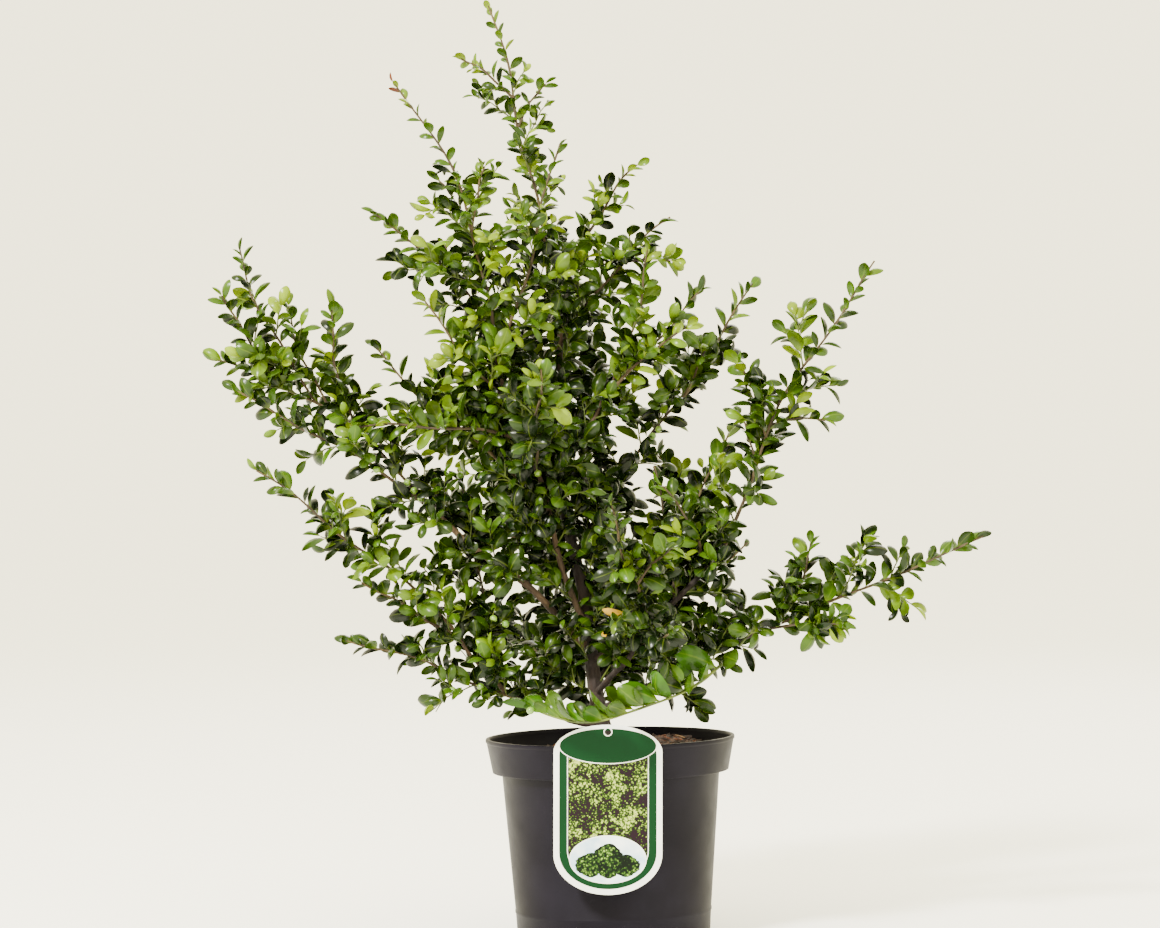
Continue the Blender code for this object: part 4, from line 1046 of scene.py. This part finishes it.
def plate(name, loops, front, thickness, material, flat=False):
    """A flat plate that fills the first loop, with the other loops as holes. It stands in the
    card's place, or lies flat with its lower face at the height given as front."""
    mesh = bmesh.new()
    for loop in loops:
        corners = [mesh.verts.new((x, z, front) if flat else (x, front, z)) for x, z in loop]
        for corner, following in zip(corners, corners[1:] + corners[:1]):
            mesh.edges.new((corner, following))
    bmesh.ops.triangle_fill(mesh, use_beauty=True, use_dissolve=False, edges=mesh.edges[:])
    grown = bmesh.ops.extrude_face_region(mesh, geom=mesh.faces[:])
    moved = [item for item in grown["geom"] if isinstance(item, bmesh.types.BMVert)]
    bmesh.ops.translate(mesh, verts=moved, vec=(0, 0, thickness) if flat else (0, thickness, 0))
    bmesh.ops.recalc_face_normals(mesh, faces=mesh.faces[:])
    if not flat:
        mesh.transform(Matrix.Translation((CARD_CENTRE_X, 0, CARD_TOP)) @ Matrix.Rotation(CARD_LEAN, 4, "Y"))
    data = bpy.data.meshes.new(name)
    mesh.to_mesh(data)
    mesh.free()
    data.materials.append(material)
    piece = put_in_scene(name, data)
    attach(piece, "root")
    return piece


def make_label():
    """A plastic plant card with green bands and a generic leafy print, hooked over the rim. Each
    printed layer lies in front of the card by its number of ink thicknesses."""
    front = -(RIM_RADIUS + GAP + CARD_THICKNESS)
    hole = ellipse_loop(-CARD_HOLE_DEPTH, CARD_HOLE_RADIUS, CARD_HOLE_RADIUS, 24)
    line, picture = PICTURE_INSETS
    white = plain_ink("card_white", "E9ECE8")
    green = plain_ink("card_green", "002A10")
    # The printed leaves are 1.8 mm, the bushes' 1.9 mm and the clouds in the sky 17 mm
    leafy = dabbed_ink("card_leaf_print", 0.001786, LEAFY_PRINT)
    sky = dabbed_ink("card_sky_print", 0.01667, SKY_PRINT)
    bushy = dabbed_ink("card_bush_print", 0.001923, BUSH_PRINT)
    card = plate("label_card", [card_loop(0), hole], front, CARD_THICKNESS, white)
    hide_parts("label")
    layers = [
        ("label_green_edge", 1, [card_loop(GREEN_INSET), hole], green),
        ("label_picture_line", 2, [picture_loop(line)], white),
        ("label_picture", 3, [picture_loop(picture)], leafy),
        ("label_head_line", 4, [ellipse_loop(*HEAD_LINE), hole], white),
        ("label_head", 5, [ellipse_loop(*HEAD), hole], green),
        ("label_hole_ring", 6, [ellipse_loop(*HOLE_RING, 24), hole], white),
        ("label_inset_line", 4, [ellipse_loop(*INSET_LINE)], white),
        ("label_inset", 5, [ellipse_loop(*INSET)], sky),
    ]
    for index, (x, z, wide, high) in enumerate(INSET_BUSHES):
        crown = [(px + x + BUSH_WAVE * math.sin(9 * i), pz + BUSH_WAVE * math.cos(7 * i))
                 for i, (px, pz) in enumerate(ellipse_loop(z, wide, high, 40))]
        layers.append((f"label_inset_bush_{index}", 6 + index, [crown], bushy))
    for name, layer, loops, ink in layers:
        plate(name, loops, front - layer * INK_THICKNESS, INK_THICKNESS, ink)
    make_tongue(white, front)


def make_tongue(material, front):
    """The strip that hooks over the rim and reaches down inside it."""
    inner = -(BAND_TOP_RADIUS - POT_WALL - GAP) + TONGUE_CLEARANCE
    seat, foot = POT_HEIGHT + GAP, SOIL_LEVEL - SOIL_EDGE_DROP + 4 * GAP
    middle = front + CARD_THICKNESS / 2
    run = [(middle, seat), (inner, seat), (inner, foot), (inner + CARD_THICKNESS, foot),
           (inner + CARD_THICKNESS, seat + CARD_THICKNESS), (middle, seat + CARD_THICKNESS)]
    left = CARD_CENTRE_X - TONGUE_WIDTH / 2
    points = [(left + shift, y, z) for shift in (0, TONGUE_WIDTH) for y, z in run]
    count = len(run)
    faces = [tuple(range(count - 1, -1, -1)), tuple(range(count, 2 * count))]
    faces += [(i, (i + 1) % count, (i + 1) % count + count, i + count) for i in range(count)]
    mesh_piece("label_tongue", points, faces, material, smooth=False)


def make_camera():
    """The photograph's view: level, 2.6 m away, turned by about one degree."""
    camera = bpy.data.cameras.new("camera")
    camera.sensor_width = SENSOR_WIDTH
    camera.lens = SENSOR_WIDTH * CAMERA_DISTANCE / FRAME_WIDTH
    holder = put_in_scene("camera", camera)
    holder.location = CAMERA_PLACE
    holder.rotation_euler = (math.pi / 2, CAMERA_TURN, 0)
    bpy.context.scene.camera = holder


def make_light(name, place, aim, size, power, colour):
    """A soft square light that looks at its aim."""
    light = bpy.data.lights.new(name, "AREA")
    light.size = size
    light.energy = power
    light.color = colour
    holder = put_in_scene(name, light)
    holder.location = place
    holder.rotation_euler = (Vector(aim) - Vector(place)).to_track_quat("-Z", "Y").to_euler()


def make_stage():
    """A wide pale floor of matt paint, which glows a little so that its far edge meets the world's
    colour, a pale world and three soft lights."""
    floor = bpy.data.meshes.new("floor")
    reach = FLOOR_REACH
    corners = [(-reach, -reach, 0), (reach, -reach, 0), (reach, reach, 0), (-reach, reach, 0)]
    floor.from_pydata(corners, [], [(0, 1, 2, 3)])
    material, _, shader = new_finish("floor_paint", 0.9)
    shader.inputs["Base Color"].default_value = linear(FLOOR_COLOUR)
    shader.inputs["Emission Color"].default_value = linear(STUDIO_COLOUR)
    shader.inputs["Emission Strength"].default_value = FLOOR_GLOW * WORLD_LIGHT
    floor.materials.append(material)
    put_in_scene("floor", floor)
    world = bpy.data.worlds.new("studio")
    world.use_nodes = True
    background = world.node_tree.nodes["Background"]
    background.inputs["Color"].default_value = linear(STUDIO_COLOUR)
    background.inputs["Strength"].default_value = WORLD_LIGHT
    bpy.context.scene.world = world
    for name, light in LIGHTS.items():
        make_light(name, *light)


def main():
    make_camera()
    make_stage()
    dress_pot()
    make_soil()
    make_label()
    limbs = grow_limbs()
    make_bark(limbs)
    make_berries(make_foliage(limbs))


main()
